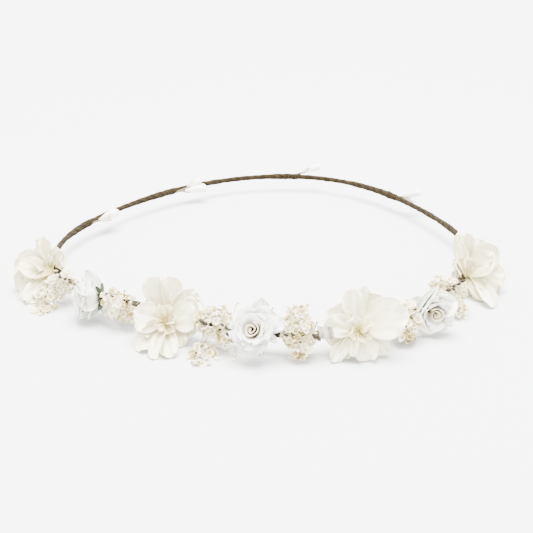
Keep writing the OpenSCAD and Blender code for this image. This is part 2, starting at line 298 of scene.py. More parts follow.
def bezier(p0, p1, p2, p3, n):
    t = np.linspace(0, 1, n)[:, None]
    return (1 - t) ** 3 * p0 + 3 * (1 - t) ** 2 * t * p1 + 3 * (1 - t) * t ** 2 * p2 + t ** 3 * p3


# ------------------------------------------------------------------ materials
class Mat:
    def __init__(self, name):
        self.m = bpy.data.materials.new(name)
        self.m.use_nodes = True
        self.t = self.m.node_tree
        self.t.nodes.clear()
        self.out = self.n("ShaderNodeOutputMaterial")

    def n(self, kind, ins=None, **props):
        x = self.t.nodes.new(kind)
        for k, v in props.items():
            setattr(x, k, v)
        for k, v in (ins or {}).items():
            s = x.inputs[k]
            if isinstance(v, bpy.types.NodeSocket):
                self.t.links.new(v, s)
            else:
                s.default_value = v
        return x

    def coord(self, which="Object"):
        return self.n("ShaderNodeTexCoord").outputs[which]

    def attr(self, name):
        return self.n("ShaderNodeAttribute", attribute_name=name).outputs["Fac"]

    def noise(self, vec, scale, detail=3.0, rough=0.55, distort=0.0):
        return self.n("ShaderNodeTexNoise", {"Vector": vec, "Scale": scale, "Detail": detail, "Roughness": rough, "Distortion": distort}).outputs["Fac"]

    def ramp(self, fac, stops, interp="LINEAR"):
        x = self.n("ShaderNodeValToRGB", {"Fac": fac})
        cr = x.color_ramp
        cr.interpolation = interp
        while len(cr.elements) < len(stops):
            cr.elements.new(0.5)
        for e, (p, c) in zip(cr.elements, stops):
            e.position = p
            e.color = (*c, 1) if len(c) == 3 else c
        return x.outputs["Color"]

    def math(self, op, a, b=0.0, clamp=False):
        return self.n("ShaderNodeMath", {0: a, 1: b}, operation=op, use_clamp=clamp).outputs[0]

    def mix(self, fac, a, b, blend="MIX"):
        x = self.n("ShaderNodeMix", data_type="RGBA", blend_type=blend)
        for s, v in ((x.inputs[0], fac), (x.inputs[6], a), (x.inputs[7], b)):
            if isinstance(v, bpy.types.NodeSocket):
                self.t.links.new(v, s)
            elif s.type == "RGBA":
                s.default_value = (*v, 1) if len(v) == 3 else v
            else:
                s.default_value = v
        return x.outputs[2]

    def bump(self, height, dist, strength=1.0, normal=None):
        ins = {"Height": height, "Distance": dist, "Strength": strength}
        if normal is not None:
            ins["Normal"] = normal
        return self.n("ShaderNodeBump", ins).outputs["Normal"]

    def cloth(self, color, rough, normal, through=0.3, sheen=0.0, through_color=None, spec=0.3):
        ins = {"Base Color": color, "Roughness": rough, "Specular IOR Level": spec}
        if normal is not None:
            ins["Normal"] = normal
        if sheen:
            ins["Sheen Weight"] = sheen
            ins["Sheen Roughness"] = 0.5
        p = self.n("ShaderNodeBsdfPrincipled", ins)
        if not through:
            self.t.links.new(p.outputs[0], self.out.inputs[0])
            return self.m
        ti = {"Color": color if through_color is None else through_color}
        if normal is not None:
            ti["Normal"] = normal
        tr = self.n("ShaderNodeBsdfTranslucent", ti)
        mx = self.n("ShaderNodeMixShader", {0: through, 1: p.outputs[0], 2: tr.outputs[0]})
        self.t.links.new(mx.outputs[0], self.out.inputs[0])
        return self.m


def srgb(r, g, b):
    f = lambda c: ((c / 255 + 0.055) / 1.055) ** 2.4 if c > 10 else c / 255 / 12.92
    return (f(r), f(g), f(b))


def chiffon(name, light, deep, edge, through, rough=0.62, weave=1.0):
    """Sheer woven petal cloth: crossed threads; darker and warmer towards the foot and in the folds. The darkening in
    the folds is painted shade in the pleats; at the foot it is partly the cloth's own warmer centre and partly painted
    shade in the flower's heart.
    """
    m = Mat(name)
    uv = m.coord("UV")
    obj = m.coord("Object")
    # crossed threads about 0.4 mm apart
    w1 = m.n("ShaderNodeTexWave", {"Vector": uv, "Scale": 12.5, "Distortion": 0.35, "Detail": 1.0, "Detail Scale": 3.0}, wave_type="BANDS", bands_direction="X").outputs["Fac"]
    w2 = m.n("ShaderNodeTexWave", {"Vector": uv, "Scale": 12.5, "Distortion": 0.35, "Detail": 1.0, "Detail Scale": 3.0}, wave_type="BANDS", bands_direction="Y").outputs["Fac"]
    threads = m.math("MULTIPLY", w1, w2)
    foot = m.attr("vv")
    fold = m.attr("fold")
    tone = m.attr("tone")
    warm = m.attr("warm")
    blot = m.noise(obj, 170.0, 4.0, 0.6, 0.4)
    small = m.noise(obj, 900.0, 3.0, 0.6)
    # how much of the deep colour shows: most at the foot, then in the pleats; in the pleats this is painted shade, at
    # the foot partly the cloth's warmer centre and partly painted shade in the flower's heart
    a = m.math("SUBTRACT", 1.0, foot, True)
    a = m.math("POWER", a, 2.1)
    a = m.math("ADD", a, m.math("MULTIPLY", fold, 0.34))
    a = m.math("ADD", a, m.math("MULTIPLY", m.math("SUBTRACT", blot, 0.5), 0.55))
    # the warm attribute adds painted shade per petal: more on petals behind, under others or in the middle of the
    # flower
    a = m.math("ADD", a, warm, True)
    col = m.ramp(a, [(0.0, light), (0.38, tuple(0.72 * l + 0.28 * d for l, d in zip(light, deep))), (1.0, deep)])
    col = m.mix(m.math("MULTIPLY", m.attr("ee"), 0.34), col, edge)
    col = m.mix(0.5, col, m.ramp(small, [(0.2, (0.9, 0.9, 0.88)), (0.75, (1, 1, 1))]), "MULTIPLY")
    col = m.mix(0.55, col, m.ramp(threads, [(0.0, (0.86, 0.85, 0.82)), (0.5, (1, 1, 1))]), "MULTIPLY")
    # tone under 1 darkens the whole colour as painted shade (used on the knot in the flower's middle)
    shade = m.n("ShaderNodeCombineColor", {0: tone, 1: tone, 2: tone}).outputs[0]
    col = m.mix(1.0, col, shade, "MULTIPLY")
    hgt = m.math("ADD", m.math("MULTIPLY", threads, 0.5 * weave), m.math("MULTIPLY", blot, 1.1))
    nrm = m.bump(hgt, 0.00022, 0.7)
    rg = m.math("ADD", m.math("MULTIPLY", small, 0.2), rough - 0.1)
    return m.cloth(col, rg, nrm, through, 0.12)


CHIFFON = chiffon("chiffon", (0.995, 0.972, 0.79), (0.62, 0.51, 0.16), (0.84, 0.79, 0.52), 0.28)
# the inner petals' cloth is yellower, the flower's warm centre, and its deep colour darker, painted shade in the
# flower's heart
CHIFFON_WARM = chiffon("chiffon_inner", (0.99, 0.95, 0.66), (0.46, 0.37, 0.085), (0.78, 0.70, 0.36), 0.26)
# rose paper: its deep colour at the petal feet is painted shade inside the cup, and its grey edge colour is painted
# shade along the rolled rims
PAPER = chiffon("rose_paper", (0.86, 0.855, 0.80), (0.28, 0.265, 0.18), (0.58, 0.585, 0.50), 0.15, 0.7, 0.25)
# the rose heart's beige and its dark deep colour are painted shade inside the rose's cavity
HEART_PAINTED_SHADE = chiffon("rose_heart", (0.88, 0.78, 0.54), (0.30, 0.22, 0.08), (0.82, 0.78, 0.64), 0.12, 0.66, 0.25)


def leaf_mat():
    """White cloth leaf with a dark green back showing through beside the midrib."""
    m = Mat("leaf")
    obj = m.coord("Object")
    mid = m.attr("fold")
    blot = m.noise(obj, 260.0, 4.0, 0.6, 0.6)
    fine = m.noise(obj, 1500.0, 3.0, 0.6)
    g = m.math("ADD", mid, m.math("MULTIPLY", m.math("SUBTRACT", blot, 0.5), 0.5), True)
    col = m.ramp(g, [(0.0, (0.90, 0.91, 0.87)), (0.34, (0.55, 0.58, 0.44)), (0.62, (0.07, 0.095, 0.04)), (1.0, (0.014, 0.022, 0.008))])
    col = m.mix(m.math("MULTIPLY", m.attr("ee"), 0.55), col, (0.06, 0.07, 0.035))
    col = m.mix(0.6, col, m.ramp(fine, [(0.25, (0.84, 0.85, 0.82)), (0.7, (1, 1, 1))]), "MULTIPLY")
    nrm = m.bump(m.math("ADD", blot, m.math("MULTIPLY", fine, 0.3)), 0.0002, 0.8)
    rg = m.math("ADD", m.math("MULTIPLY", fine, 0.25), 0.5)
    return m.cloth(col, rg, nrm, 0.16)


def plain_mat(name, stops, scale, fine_scale=1800.0, rough=0.6, bump=0.00012, through=0.0, spec=0.3, sheen=0.0, metal=0.0):
    """Mottled colour from stops, finer speckle over it and a matching bump."""
    m = Mat(name)
    obj = m.coord("Object")
    a = m.noise(obj, scale, 5.0, 0.62, 0.5)
    b = m.noise(obj, fine_scale, 3.0, 0.6)
    col = m.ramp(m.math("ADD", m.math("MULTIPLY", a, 1.25), m.math("ADD", m.attr("warm"), -0.12), True), stops)
    col = m.mix(0.6, col, m.ramp(b, [(0.25, (0.72, 0.71, 0.68)), (0.7, (1, 1, 1))]), "MULTIPLY")
    nrm = m.bump(m.math("ADD", a, m.math("MULTIPLY", b, 0.5)), bump, 0.9)
    rg = m.math("ADD", m.math("MULTIPLY", b, 0.25), rough - 0.1)
    return m.cloth(col, rg, nrm, through, sheen, None, spec)


def tape_mat(name, dark, mid, light):
    """Waxed crepe paper tape: fine creping across the strip; its colour is painted lighter on each lap's ridge (painted
    highlight) and darker in the laps (painted shade).
    """
    m = Mat(name)
    uv = m.coord("UV")
    obj = m.coord("Object")
    ridge_painted_light = m.attr("ridge")
    crepe = m.n("ShaderNodeTexWave", {"Vector": uv, "Scale": 16.0, "Distortion": 5.0, "Detail": 3.0, "Detail Scale": 2.0}, wave_type="BANDS", bands_direction="X").outputs["Fac"]
    a = m.noise(obj, 240.0, 5.0, 0.65, 0.4)
    b = m.noise(obj, 1900.0, 3.0, 0.6)
    # lighter on the ridges and darker in the laps: painted highlight and painted shade, mixed with mottling
    f = m.math("ADD", m.math("MULTIPLY", ridge_painted_light, 0.6), m.math("MULTIPLY", a, 0.55))
    f = m.math("ADD", f, m.math("MULTIPLY", m.math("SUBTRACT", b, 0.5), 0.35), True)
    col = m.ramp(f, [(0.12, dark), (0.5, mid), (0.95, light)])
    col = m.mix(0.4, col, m.ramp(crepe, [(0.0, (0.74, 0.72, 0.68)), (0.6, (1, 1, 1))]), "MULTIPLY")
    hgt = m.math("ADD", m.math("MULTIPLY", crepe, 0.6), m.math("ADD", a, m.math("MULTIPLY", b, 0.6)))
    nrm = m.bump(hgt, 0.00016, 0.9)
    rg = m.ramp(b, [(0.2, (0.62, 0.62, 0.62)), (0.8, (0.84, 0.84, 0.84))])
    return m.cloth(col, rg, nrm, 0.0, 0.0, None, 0.12)


TAPE = tape_mat("floral_tape", (0.0046, 0.0027, 0.0002), (0.0125, 0.0078, 0.0008), (0.030, 0.0196, 0.0034))
BIND = tape_mat("binding_tape", (0.0043, 0.0025, 0.0002), (0.0115, 0.0071, 0.0007), (0.028, 0.0180, 0.0031))
BUD = plain_mat("bud", [(0.12, (0.62, 0.52, 0.34)), (0.42, (0.95, 0.93, 0.87)), (0.8, (0.99, 0.985, 0.97))], 210.0, 1500.0, 0.5, 0.0002, 0.2)
TWIG = plain_mat("twig", [(0.2, (0.10, 0.07, 0.028)), (0.5, (0.30, 0.22, 0.10)), (0.85, (0.56, 0.46, 0.27))], 300.0)
STEM = plain_mat("sprig_stem", [(0.2, (0.05, 0.035, 0.014)), (0.5, (0.10, 0.075, 0.035)), (0.85, (0.2, 0.16, 0.09))], 300.0)
DRIED = plain_mat("dried_stem", [(0.2, (0.03, 0.02, 0.008)), (0.5, (0.09, 0.06, 0.024)), (0.85, (0.20, 0.15, 0.07))], 300.0)
# floret: the dark brown stops carry the painted shade at the petal feet
FLORET = plain_mat("floret", [(0.08, (0.34, 0.26, 0.09)), (0.30, (0.78, 0.67, 0.34)), (0.52, (0.94, 0.88, 0.62)), (0.88, (0.98, 0.95, 0.80))], 420.0, 2200.0, 0.66, 0.00014, 0.16)
CORE = plain_mat("floret_core", [(0.2, (0.34, 0.27, 0.09)), (0.6, (0.60, 0.51, 0.24)), (0.95, (0.84, 0.77, 0.50))], 600.0)
DARK_SPECK = plain_mat("dark_speck", [(0.2, (0.006, 0.0032, 0.0004)), (0.5, (0.013, 0.0072, 0.0010)), (0.85, (0.040, 0.0235, 0.0045))], 300.0)
CALYX = plain_mat("calyx", [(0.2, (0.010, 0.016, 0.006)), (0.5, (0.045, 0.062, 0.028)), (0.85, (0.22, 0.26, 0.16))], 420.0, 1600.0, 0.55)
WIREM = plain_mat("steel_wire", [(0.2, srgb(96, 94, 90)), (0.6, srgb(150, 148, 144)), (0.9, srgb(190, 188, 184))], 500.0, 2500.0, 0.35, 0.00005, 0.0, 0.6)
TAUPE = plain_mat("gauze", [(0.15, (0.10, 0.085, 0.068)), (0.5, (0.27, 0.24, 0.205)), (0.85, (0.5, 0.46, 0.41))], 300.0, 1500.0, 0.7, 0.00015, 0.08)
DARKTAPE = plain_mat("dark_tape", [(0.2, (0.010, 0.007, 0.003)), (0.5, (0.025, 0.018, 0.009)), (0.85, (0.06, 0.045, 0.024))], 300.0, 1500.0, 0.5)


# ------------------------------------------------------------------ the four chiffon blossoms
# Each petal: foot, tip (right, up, towards the front, in mm from the flower's middle), the way it faces, width,
# arc, cupping, rim wave, pleating (which also sets the painted shade in the pleats), warmth of colour (painted shade:
# more of the deep colour on petals behind, under others or in the middle, less on the large front ones), curl of the
# tip, where the widest row is.
PETALS_1 = [
    ((2.2, 0.4, -2.5), (4, 7, -4), (0, 0.2, 1), 6.7, 20, 0.3, 0.5, 0.3, 0.3, 0, 0.62),
    ((0.9, 1.3, -2.5), (-7.6, 9.3, -4.5), (-0.2, 0.1, 1), 8.9, -25, 0.2, 0.6, 0.3, 0.12, 0, 0.64),
    ((-0, -1.4, -3), (5.3, -9.4, -5), (0.3, -0.1, 1), 9.8, 30, 0.3, 0.5, 0.3, 0.2, 0, 0.62),
    ((-0, -1.8, -2.5), (-7.6, -14.3, -3), (-0.2, -0.3, 1), 8.9, -20, 0.2, 0.5, 0.4, 0.14, 0, 0.64),
    ((-0.5, 0.8, 0.4), (-3.1, 15.5, 0), (-0.35, 0, 1), 6.7, 26, 0.75, 0.5, 0.45, 0.12, 0.6, 0.66),
    ((0.4, 0.4, 0), (2.6, 10.6, -1), (0.5, 0.2, 1), 5.8, 30, 0.6, 0.4, 0.4, 0.22, 0, 0.6),
    ((-0, 0.4, 1.2), (-15.1, 3.9, 2.2), (-0.1, 0.35, 1), 12, 34, 0.35, 0.6, 0.15, -0.06, 0.9, 0.62),
    ((-0.5, -0.5, 1), (-15.1, -5.8, 2.5), (-0.2, -0.15, 1), 9.8, -24, 0.3, 0.6, 0.3, 0.04, -0.6, 0.62),
    ((-0.5, -1.4, 2), (-10.2, -12.9, 2), (-0.3, -0.2, 1), 6.7, 22, 0.7, 0.5, 0.5, 0.16, 0.4, 0.64),
    ((-0.9, -0.5, 2.6), (-3.1, -13.4, 3), (0.25, -0.1, 1), 6.2, 30, 0.55, 0.5, 0.4, 0.02, 0.5, 0.64),
    ((-0, -0.1, 3.6), (5.3, -5.8, 3.2), (0.3, 0.1, 1), 7.1, 34, 0.5, 0.4, 0.4, 0.1, 0, 0.6),
    ((-0.9, 0.4, 3.5), (-7.1, 3.9, 7.5), (-0.1, 0.8, 0.6), 5.8, 44, 0.5, 0.4, 0.4, 0.06, 0.3, 0.62),
    ((-0.5, 0.4, 3.6), (0.4, 6.6, 6.5), (0.2, 0.5, 0.9), 4.4, 40, 0.6, 0.4, 0.5, 0.22, 0, 0.62),
    ((-0.9, -0.5, 3.8), (-5.4, -3.2, 7.5), (-0.4, -0.5, 0.8), 4.9, 46, 0.6, 0.4, 0.4, 0.12, 0.2, 0.6),
    ((1.3, 2.2, 4.6), (-3.1, 13.7, 3), (-0.5, 0.1, 1), 5.3, 24, 0.8, 0.4, 0.4, 0.06, 0.3, 0.66),
    ((1.8, -0.5, 6), (-12.9, 2.2, 6.6), (-0.15, 0.55, 1), 8.9, 30, 0.42, 0.5, 0.15, -0.06, 0.8, 0.6),
    ((-0, -1.8, 5.6), (-10.2, -6.7, 6), (-0.2, -0.1, 1), 6.7, -20, 0.35, 0.5, 0.3, 0.02, -0.4, 0.62),
]
PETALS_2 = [
    ((-4.7, 0.2, -3.5), (-12.4, 5.9, -5), (-0.2, 0.2, 1), 8.1, 18, 0.25, 0.5, 0.3, 0.12, 0, 0.64),
    ((-1, 0.2, -3.5), (7.1, -4.7, -4), (0.2, -0.1, 1), 9, 18, 0.25, 0.5, 0.3, 0.14, 0, 0.64),
    ((-4.7, 1.4, -2.2), (-10, 16.2, -1.6), (-0.25, -0.1, 1), 8.5, 24, 0.35, 0.6, 0.3, 0.02, 0.6, 0.64),
    ((-2.2, 1.8, -2.6), (-2.2, 16.4, -2.2), (0.2, -0.1, 1), 9, 24, 0.35, 0.6, 0.3, 0.02, 0.6, 0.64),
    ((-1.8, 0.6, -2.2), (9.2, 9.9, -1.5), (0.25, 0.2, 1), 7.3, 20, 0.3, 0.5, 0.3, 0.04, 0.4, 0.62),
    ((-3.9, -3.9, -0.5), (-14.4, -13.7, 0), (-0.3, 0.2, 1), 7.7, -18, 0.3, 0.6, 0.35, 0.1, -0.5, 0.62),
    ((-2.6, -3.9, -0.5), (3.9, -12.1, -1), (0.3, 0.1, 1), 6.9, -18, 0.3, 0.6, 0.35, 0.14, -0.4, 0.62),
    ((-3.5, -4.3, 1.2), (-0.6, -16.1, 1.5), (0.1, 0.1, 1), 6.9, -14, 0.4, 0.6, 0.4, 0.03, -0.4, 0.64),
    ((-3.9, -4.3, 2.4), (-7.5, -16.5, 3), (-0.5, 0.1, 1), 4.9, -12, 0.85, 0.4, 0.5, 0, -0.3, 0.66),
    ((-3.5, -1.9, 2), (-16.5, 0.2, 3.5), (-0.15, 0.35, 1), 11, 34, 0.34, 0.6, 0.2, -0.06, 0.9, 0.62),
    ((-2.6, -1.9, 2.2), (9.2, 1, 3.5), (0.2, 0.3, 1), 10.6, 36, 0.36, 0.6, 0.2, -0.04, 0.9, 0.62),
    ((-3.5, -2.3, 2.4), (-12.8, -6.4, 5), (-0.1, -0.2, 1), 6.1, 30, 0.6, 0.5, 0.4, 0.1, 0.5, 0.62),
    ((-3.5, -1.1, 3.2), (-5.1, 5, 6), (0, 0.45, 1), 6.9, 36, 0.5, 0.4, 0.3, 0, 0.5, 0.62),
    ((-3, -2.3, 4), (1.4, -1.1, 8), (0.5, 0.5, 0.8), 4.9, 44, 0.6, 0.4, 0.5, 0.26, 0.3, 0.62),
    ((-3.5, -2.7, 4.2), (-7.1, -3.9, 8), (-0.5, -0.1, 0.9), 4.5, 44, 0.6, 0.4, 0.5, 0.28, 0.3, 0.62),
    ((-3, -3.1, 4.2), (-0.6, -6.4, 7.5), (0.3, -0.5, 0.8), 4.5, 44, 0.6, 0.4, 0.5, 0.3, 0.2, 0.62),
]
PETALS_3 = [
    ((3.6, 0.4, -2.8), (13.9, 12.7, -2.8), (0.2, 0.2, 1), 12.7, 22, 0.22, 0.7, 0.25, -0.02, 0.8, 0.62),
    ((2.8, 0.8, -2.4), (5.5, 17.5, -2.4), (0.1, 0, 1), 5.2, 24, 0.3, 0.6, 0.3, 0, 0.6, 0.64),
    ((2.4, -0.4, -1), (0.4, 16.3, -0.8), (-0.3, 0.1, 1), 8, 26, 0.4, 0.6, 0.35, 0, 0.6, 0.64),
    ((5.1, -1.6, -1), (15.1, -8.8, -1.5), (0.2, 0.1, 1), 6.8, -16, 0.25, 0.6, 0.3, 0.08, -0.4, 0.62),
    ((1.6, -1.6, -0.5), (-7.6, -12.4, 0), (-0.3, 0.1, 1), 5.2, -16, 0.5, 0.6, 0.4, 0.08, -0.3, 0.64),
    ((2, -1.2, 0.8), (-3.2, -10.8, 2), (-0.1, 0.1, 1), 5.2, -16, 0.55, 0.5, 0.4, 0.04, -0.3, 0.64),
    ((4, -1.2, 1.4), (6.7, -12.4, 2.5), (0.1, 0.2, 1), 8.4, -20, 0.3, 0.6, 0.25, -0.02, -0.5, 0.6),
    ((3.2, 0.4, 2), (21.5, 7.9, 4.5), (0.15, 0.35, 1), 14.3, 36, 0.3, 0.7, 0.15, -0.08, 1, 0.6),
    ((1.6, -0.4, 1.8), (-9.6, 3.2, 3), (-0.2, 0.35, 1), 8, 32, 0.35, 0.5, 0.3, 0, 0.7, 0.62),
    ((2, -0.8, 4.4), (0.8, -10.4, 5.2), (-0.45, 0.1, 1), 3.6, -14, 0.9, 0.4, 0.5, -0.04, -0.3, 0.66),
    ((2.4, -0, 3.6), (-0.8, 5.1, 7), (-0.2, 0.5, 0.9), 5.6, 40, 0.5, 0.4, 0.4, 0.14, 0.3, 0.62),
    ((3.2, -0, 3.8), (7.5, 3.2, 7.5), (0.4, 0.6, 0.8), 6, 44, 0.5, 0.4, 0.4, 0.18, 0.3, 0.62),
    ((3.2, -0.8, 4), (6.7, -3.2, 7.5), (0.4, -0.3, 0.9), 4.8, 44, 0.6, 0.4, 0.5, 0.3, 0.2, 0.62),
    ((2.4, -0.8, 4.2), (-1.2, -1.2, 7.5), (-0.5, -0.1, 0.9), 4.4, 44, 0.6, 0.4, 0.5, 0.3, 0.2, 0.62),
]
PETALS_4 = [
    ((-1, 2, -3.5), (4.7, 14.4, -4.5), (0.1, 0.1, 1), 10.6, 20, 0.25, 0.6, 0.3, 0.08, 0.4, 0.64),
    ((-0.6, -0.6, -3.5), (3.8, -12.1, -5), (0.2, -0.1, 1), 9.7, 18, 0.25, 0.5, 0.3, 0.12, 0, 0.64),
    ((-2.4, 0.3, -2.4), (-7.2, -5.1, -3), (-0.3, -0.1, 1), 8, 24, 0.4, 0.5, 0.3, 0.2, 0, 0.62),
    ((-2.8, 0.3, -0.8), (-6.8, 17.1, -0.6), (-0.4, 0.1, 1), 6.2, 26, 0.8, 0.6, 0.5, 0.05, 0.4, 0.66),
    ((-1.9, 1.1, 0.4), (-2.8, 17.5, 1), (-0.2, 0.1, 1), 5.8, 24, 0.7, 0.5, 0.5, 0, 0.5, 0.66),
    ((-0.6, 1.1, 0.6), (9.6, 11.8, 1.2), (0.2, 0.2, 1), 10.6, 26, 0.32, 0.6, 0.2, -0.04, 0.8, 0.62),
    ((-0.2, -0.2, 0.8), (14, -2, 1.5), (0.2, 0.3, 1), 9.7, 26, 0.32, 0.6, 0.25, -0.02, 0.8, 0.62),
    ((-0.2, -1.1, 1.6), (10.9, -8.6, 2), (0.2, 0.1, 1), 8.4, 22, 0.4, 0.6, 0.3, 0.02, 0.5, 0.62),
    ((-0.6, -2, 2.2), (6, -15.2, 3), (0.4, 0.1, 1), 5.8, -14, 0.7, 0.4, 0.4, -0.04, 0.3, 0.66),
    ((-1, -0.2, 3.6), (-8.1, -4.6, 4.6), (-0.2, 0.2, 1), 7.5, 26, 0.6, 0.4, 0.4, 0.18, 0.2, 0.62),
    ((-2.8, -0.2, 2.6), (-9.5, 5.1, 4), (-0.4, 0.3, 1), 6.2, 36, 0.6, 0.5, 0.4, 0.26, 0.3, 0.62),
    ((-1, 1.1, 3.4), (6.5, 6.5, 7), (0.3, 0.6, 0.8), 8.9, 46, 0.5, 0.5, 0.3, 0.04, 0.5, 0.62),
    ((-0.6, -0.2, 3.8), (5.6, 0.3, 7.5), (0.4, 0.2, 0.9), 5.8, 44, 0.6, 0.4, 0.4, 0.16, 0.3, 0.62),
    ((-1.5, 0.3, 4), (-3.3, 6.5, 7), (-0.2, 0.5, 0.9), 5.3, 42, 0.6, 0.4, 0.4, 0.14, 0.3, 0.62),
    ((-3.7, -2, 5.6), (-6.4, 12.7, 4.2), (-0.4, 0.1, 1), 4.9, 22, 0.85, 0.4, 0.4, 0.06, 0.4, 0.66),
    ((-3.3, -1.1, 5.8), (7.8, 7.8, 7.6), (0.1, 0.45, 1), 10.2, 40, 0.5, 0.5, 0.2, -0.04, 0.9, 0.6),
    ((-2.8, -0.2, 6.4), (9.6, -6.4, 6.4), (0.25, 0.4, 1), 7.5, 30, 0.42, 0.5, 0.25, -0.02, 0.6, 0.62),
    ((-4.1, -3.3, 5.4), (4.7, -12.1, 6), (0.3, 0.2, 1), 5.3, -18, 0.5, 0.4, 0.3, 0, 0.3, 0.62),
]


def cloth_area(o):
    """Half the closed skin's area, in square metres: the flat area of the cloth it was cut from."""
    return sum(p.area for p in o.data.polygons) / 2


def cloth_sheet(o, on, shape=None):
    a = cloth_area(o) * 0.97
    w = math.sqrt(a / 0.62)
    flat = shape or (round(w, 4), round(w, 4))
    SHEETS.append((o.name, flat, round(a * 1e6)))


SHEETS = []


def put(C, p):
    """A flower point in the row frame; one that would fall under the table slides forward onto it."""
    q = C + loc(*p)
    low = TABLE + 0.5
    if q[2] < low:
        q = q + TW * (low - q[2]) / TW[2]
    return q


def blossom(k, angle, out, up, tilt, radius, turn, petals):
    C = off(angle, out, 0, up)
    rr_ = np.random.default_rng(k * 11)
    layers = {"outer": Bag(), "middle": Bag(), "inner": Bag()}
    third = len(petals)
    for i, (b, t, n, w, bend, cup, ruf, cr, wm, curl, vm) in enumerate(petals):
        which = "outer" if i < third * 0.33 else ("middle" if i < third * 0.72 else "inner")
        N = loc(*n)
        # each petal's warmth goes in as painted shade (warm)
        petal(layers[which], put(C, b), put(C, t), N, w * 1.22, bend, cup * 0.85, ruf * 1.35, 3.4 + (i * 7 % 5) * 0.6, k * 100 + i, vm - 0.04, 0.30, rr_.uniform(-12, 12),
              0.18, curl, 0.6 if i % 3 == 0 else 0.0, 0, 36, 35, 0.0, cr * 0.8, 1.0, True, wm * 0.6)
    # the back of the flower: a ring of petals that face away from the middle of the crown's front
    h = math.radians(heading(angle) + turn)
    face = np.array([math.cos(h) * math.cos(math.radians(tilt)), math.sin(h) * math.cos(math.radians(tilt)), math.sin(math.radians(tilt))])
    side = unit(np.cross([0, 0, 1.0], face))
    upv = np.cross(face, side)
    r = np.random.default_rng(k + 50)
    for i in range(6):
        a = math.radians(i * 60 + 20 * k + r.uniform(-9, 9))
        d = math.cos(a) * side + math.sin(a) * upv
        L = radius * r.uniform(0.60, 0.70)
        base = C + d * 1.5 - face * 1.4
        tip = C + d * L - face * r.uniform(1.6, 3.4)
        if tip[2] < TABLE + 0.6:
            tip[2] = TABLE + 0.6
        petal(layers["outer"], base, tip, face, radius * r.uniform(0.62, 0.74), r.uniform(8, 24), 0.25, 0.6, 2.2, k * 100 + 40 + i,
              0.62, 0.26, 0, 0.20, 0.3, 0.4, 0, 26, 23, 0.0, 0.3, 1.0, True, 0.08)
    # the knot of cloth that the petals are gathered on, coloured mostly with the deep colour and a darker tone: painted
    # shade in the flower's middle
    K = layers["inner"]
    P = np.stack([C + TW * z + 0.5 * loc(math.sin(z * 3), math.cos(z * 3), 0) * 0.4 for z in np.linspace(0.5, 5.4, 16)])
    V, F, U = tube(P, 1.0, 14, True, None)
    rr = 1.15 * np.sin(np.linspace(0.5, 3.0, 16)) ** 0.6
    V, F, U = tube(P, rr, 14)
    K.add(V, F, U, 0, vv=0.25, warm=0.2, tone=0.92)
    objs = []
    for name, bag in layers.items():
        o = bag.build(f"blossom_{k}_{name}_petals_cloth", [CHIFFON_WARM if name == "inner" else CHIFFON])
        cloth_sheet(o, "hoop_tape_wound")
        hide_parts(f"blossom_{k}_{name}_petals")
        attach(o, "crown")
        objs.append(o)
    return objs


def stalk(name, node, p0, p1, p2, rad, mat):
    P = bezier(np.asarray(p0), np.asarray(p0) + (np.asarray(p1) - p0) * 0.6, np.asarray(p1), np.asarray(p2), 40)
    s = np.linspace(0, 14, 40)
    b = Bag()
    V, F, U = tube(P, rad * (1 + 0.10 * np.sin(s * 2.1) + 0.06 * np.sin(s * 5.3)), 16)
    b.add(V, F, U, 0, ridge=0.5, warm=0.1)
    o = b.build(name, [mat])
    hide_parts(node)
    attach(o, "crown")
    return o


BLOSSOMS = [(196.5, 3.5, -0.5, 25, 15, 10), (244, 5, 2, 30, 16.5, 0), (289.5, 5, 2.5, 30, 17, 0), (341.5, 3, 0, 24, 16.5, -18)]
for k, (B, PT) in enumerate(zip(BLOSSOMS, (PETALS_1, PETALS_2, PETALS_3, PETALS_4)), 1):
    blossom(k, *B, PT)
    C = off(B[0], B[1], 0, B[2])
    stalk(f"blossom_{k}_stalk", f"blossom_{k}_stem", off(B[0] - 3.2, 1.5, 0, 0), off(B[0] - 1, 1.5, 0, 0.4), C + TW * 0.8, 0.5, DRIED)


# ------------------------------------------------------------------ the three white roses
def rose_frame(angle, out, up, tilt, turn):
    C = off(angle, out, 0, up)
    h, t = math.radians(heading(angle) + turn), math.radians(tilt)
    Z = np.array([math.cos(h) * math.cos(t), math.sin(h) * math.cos(t), math.sin(t)])
    X = unit(np.cross([0, 0, 1.0], Z))
    Y = np.cross(Z, X)
    return C, X, Y, Z


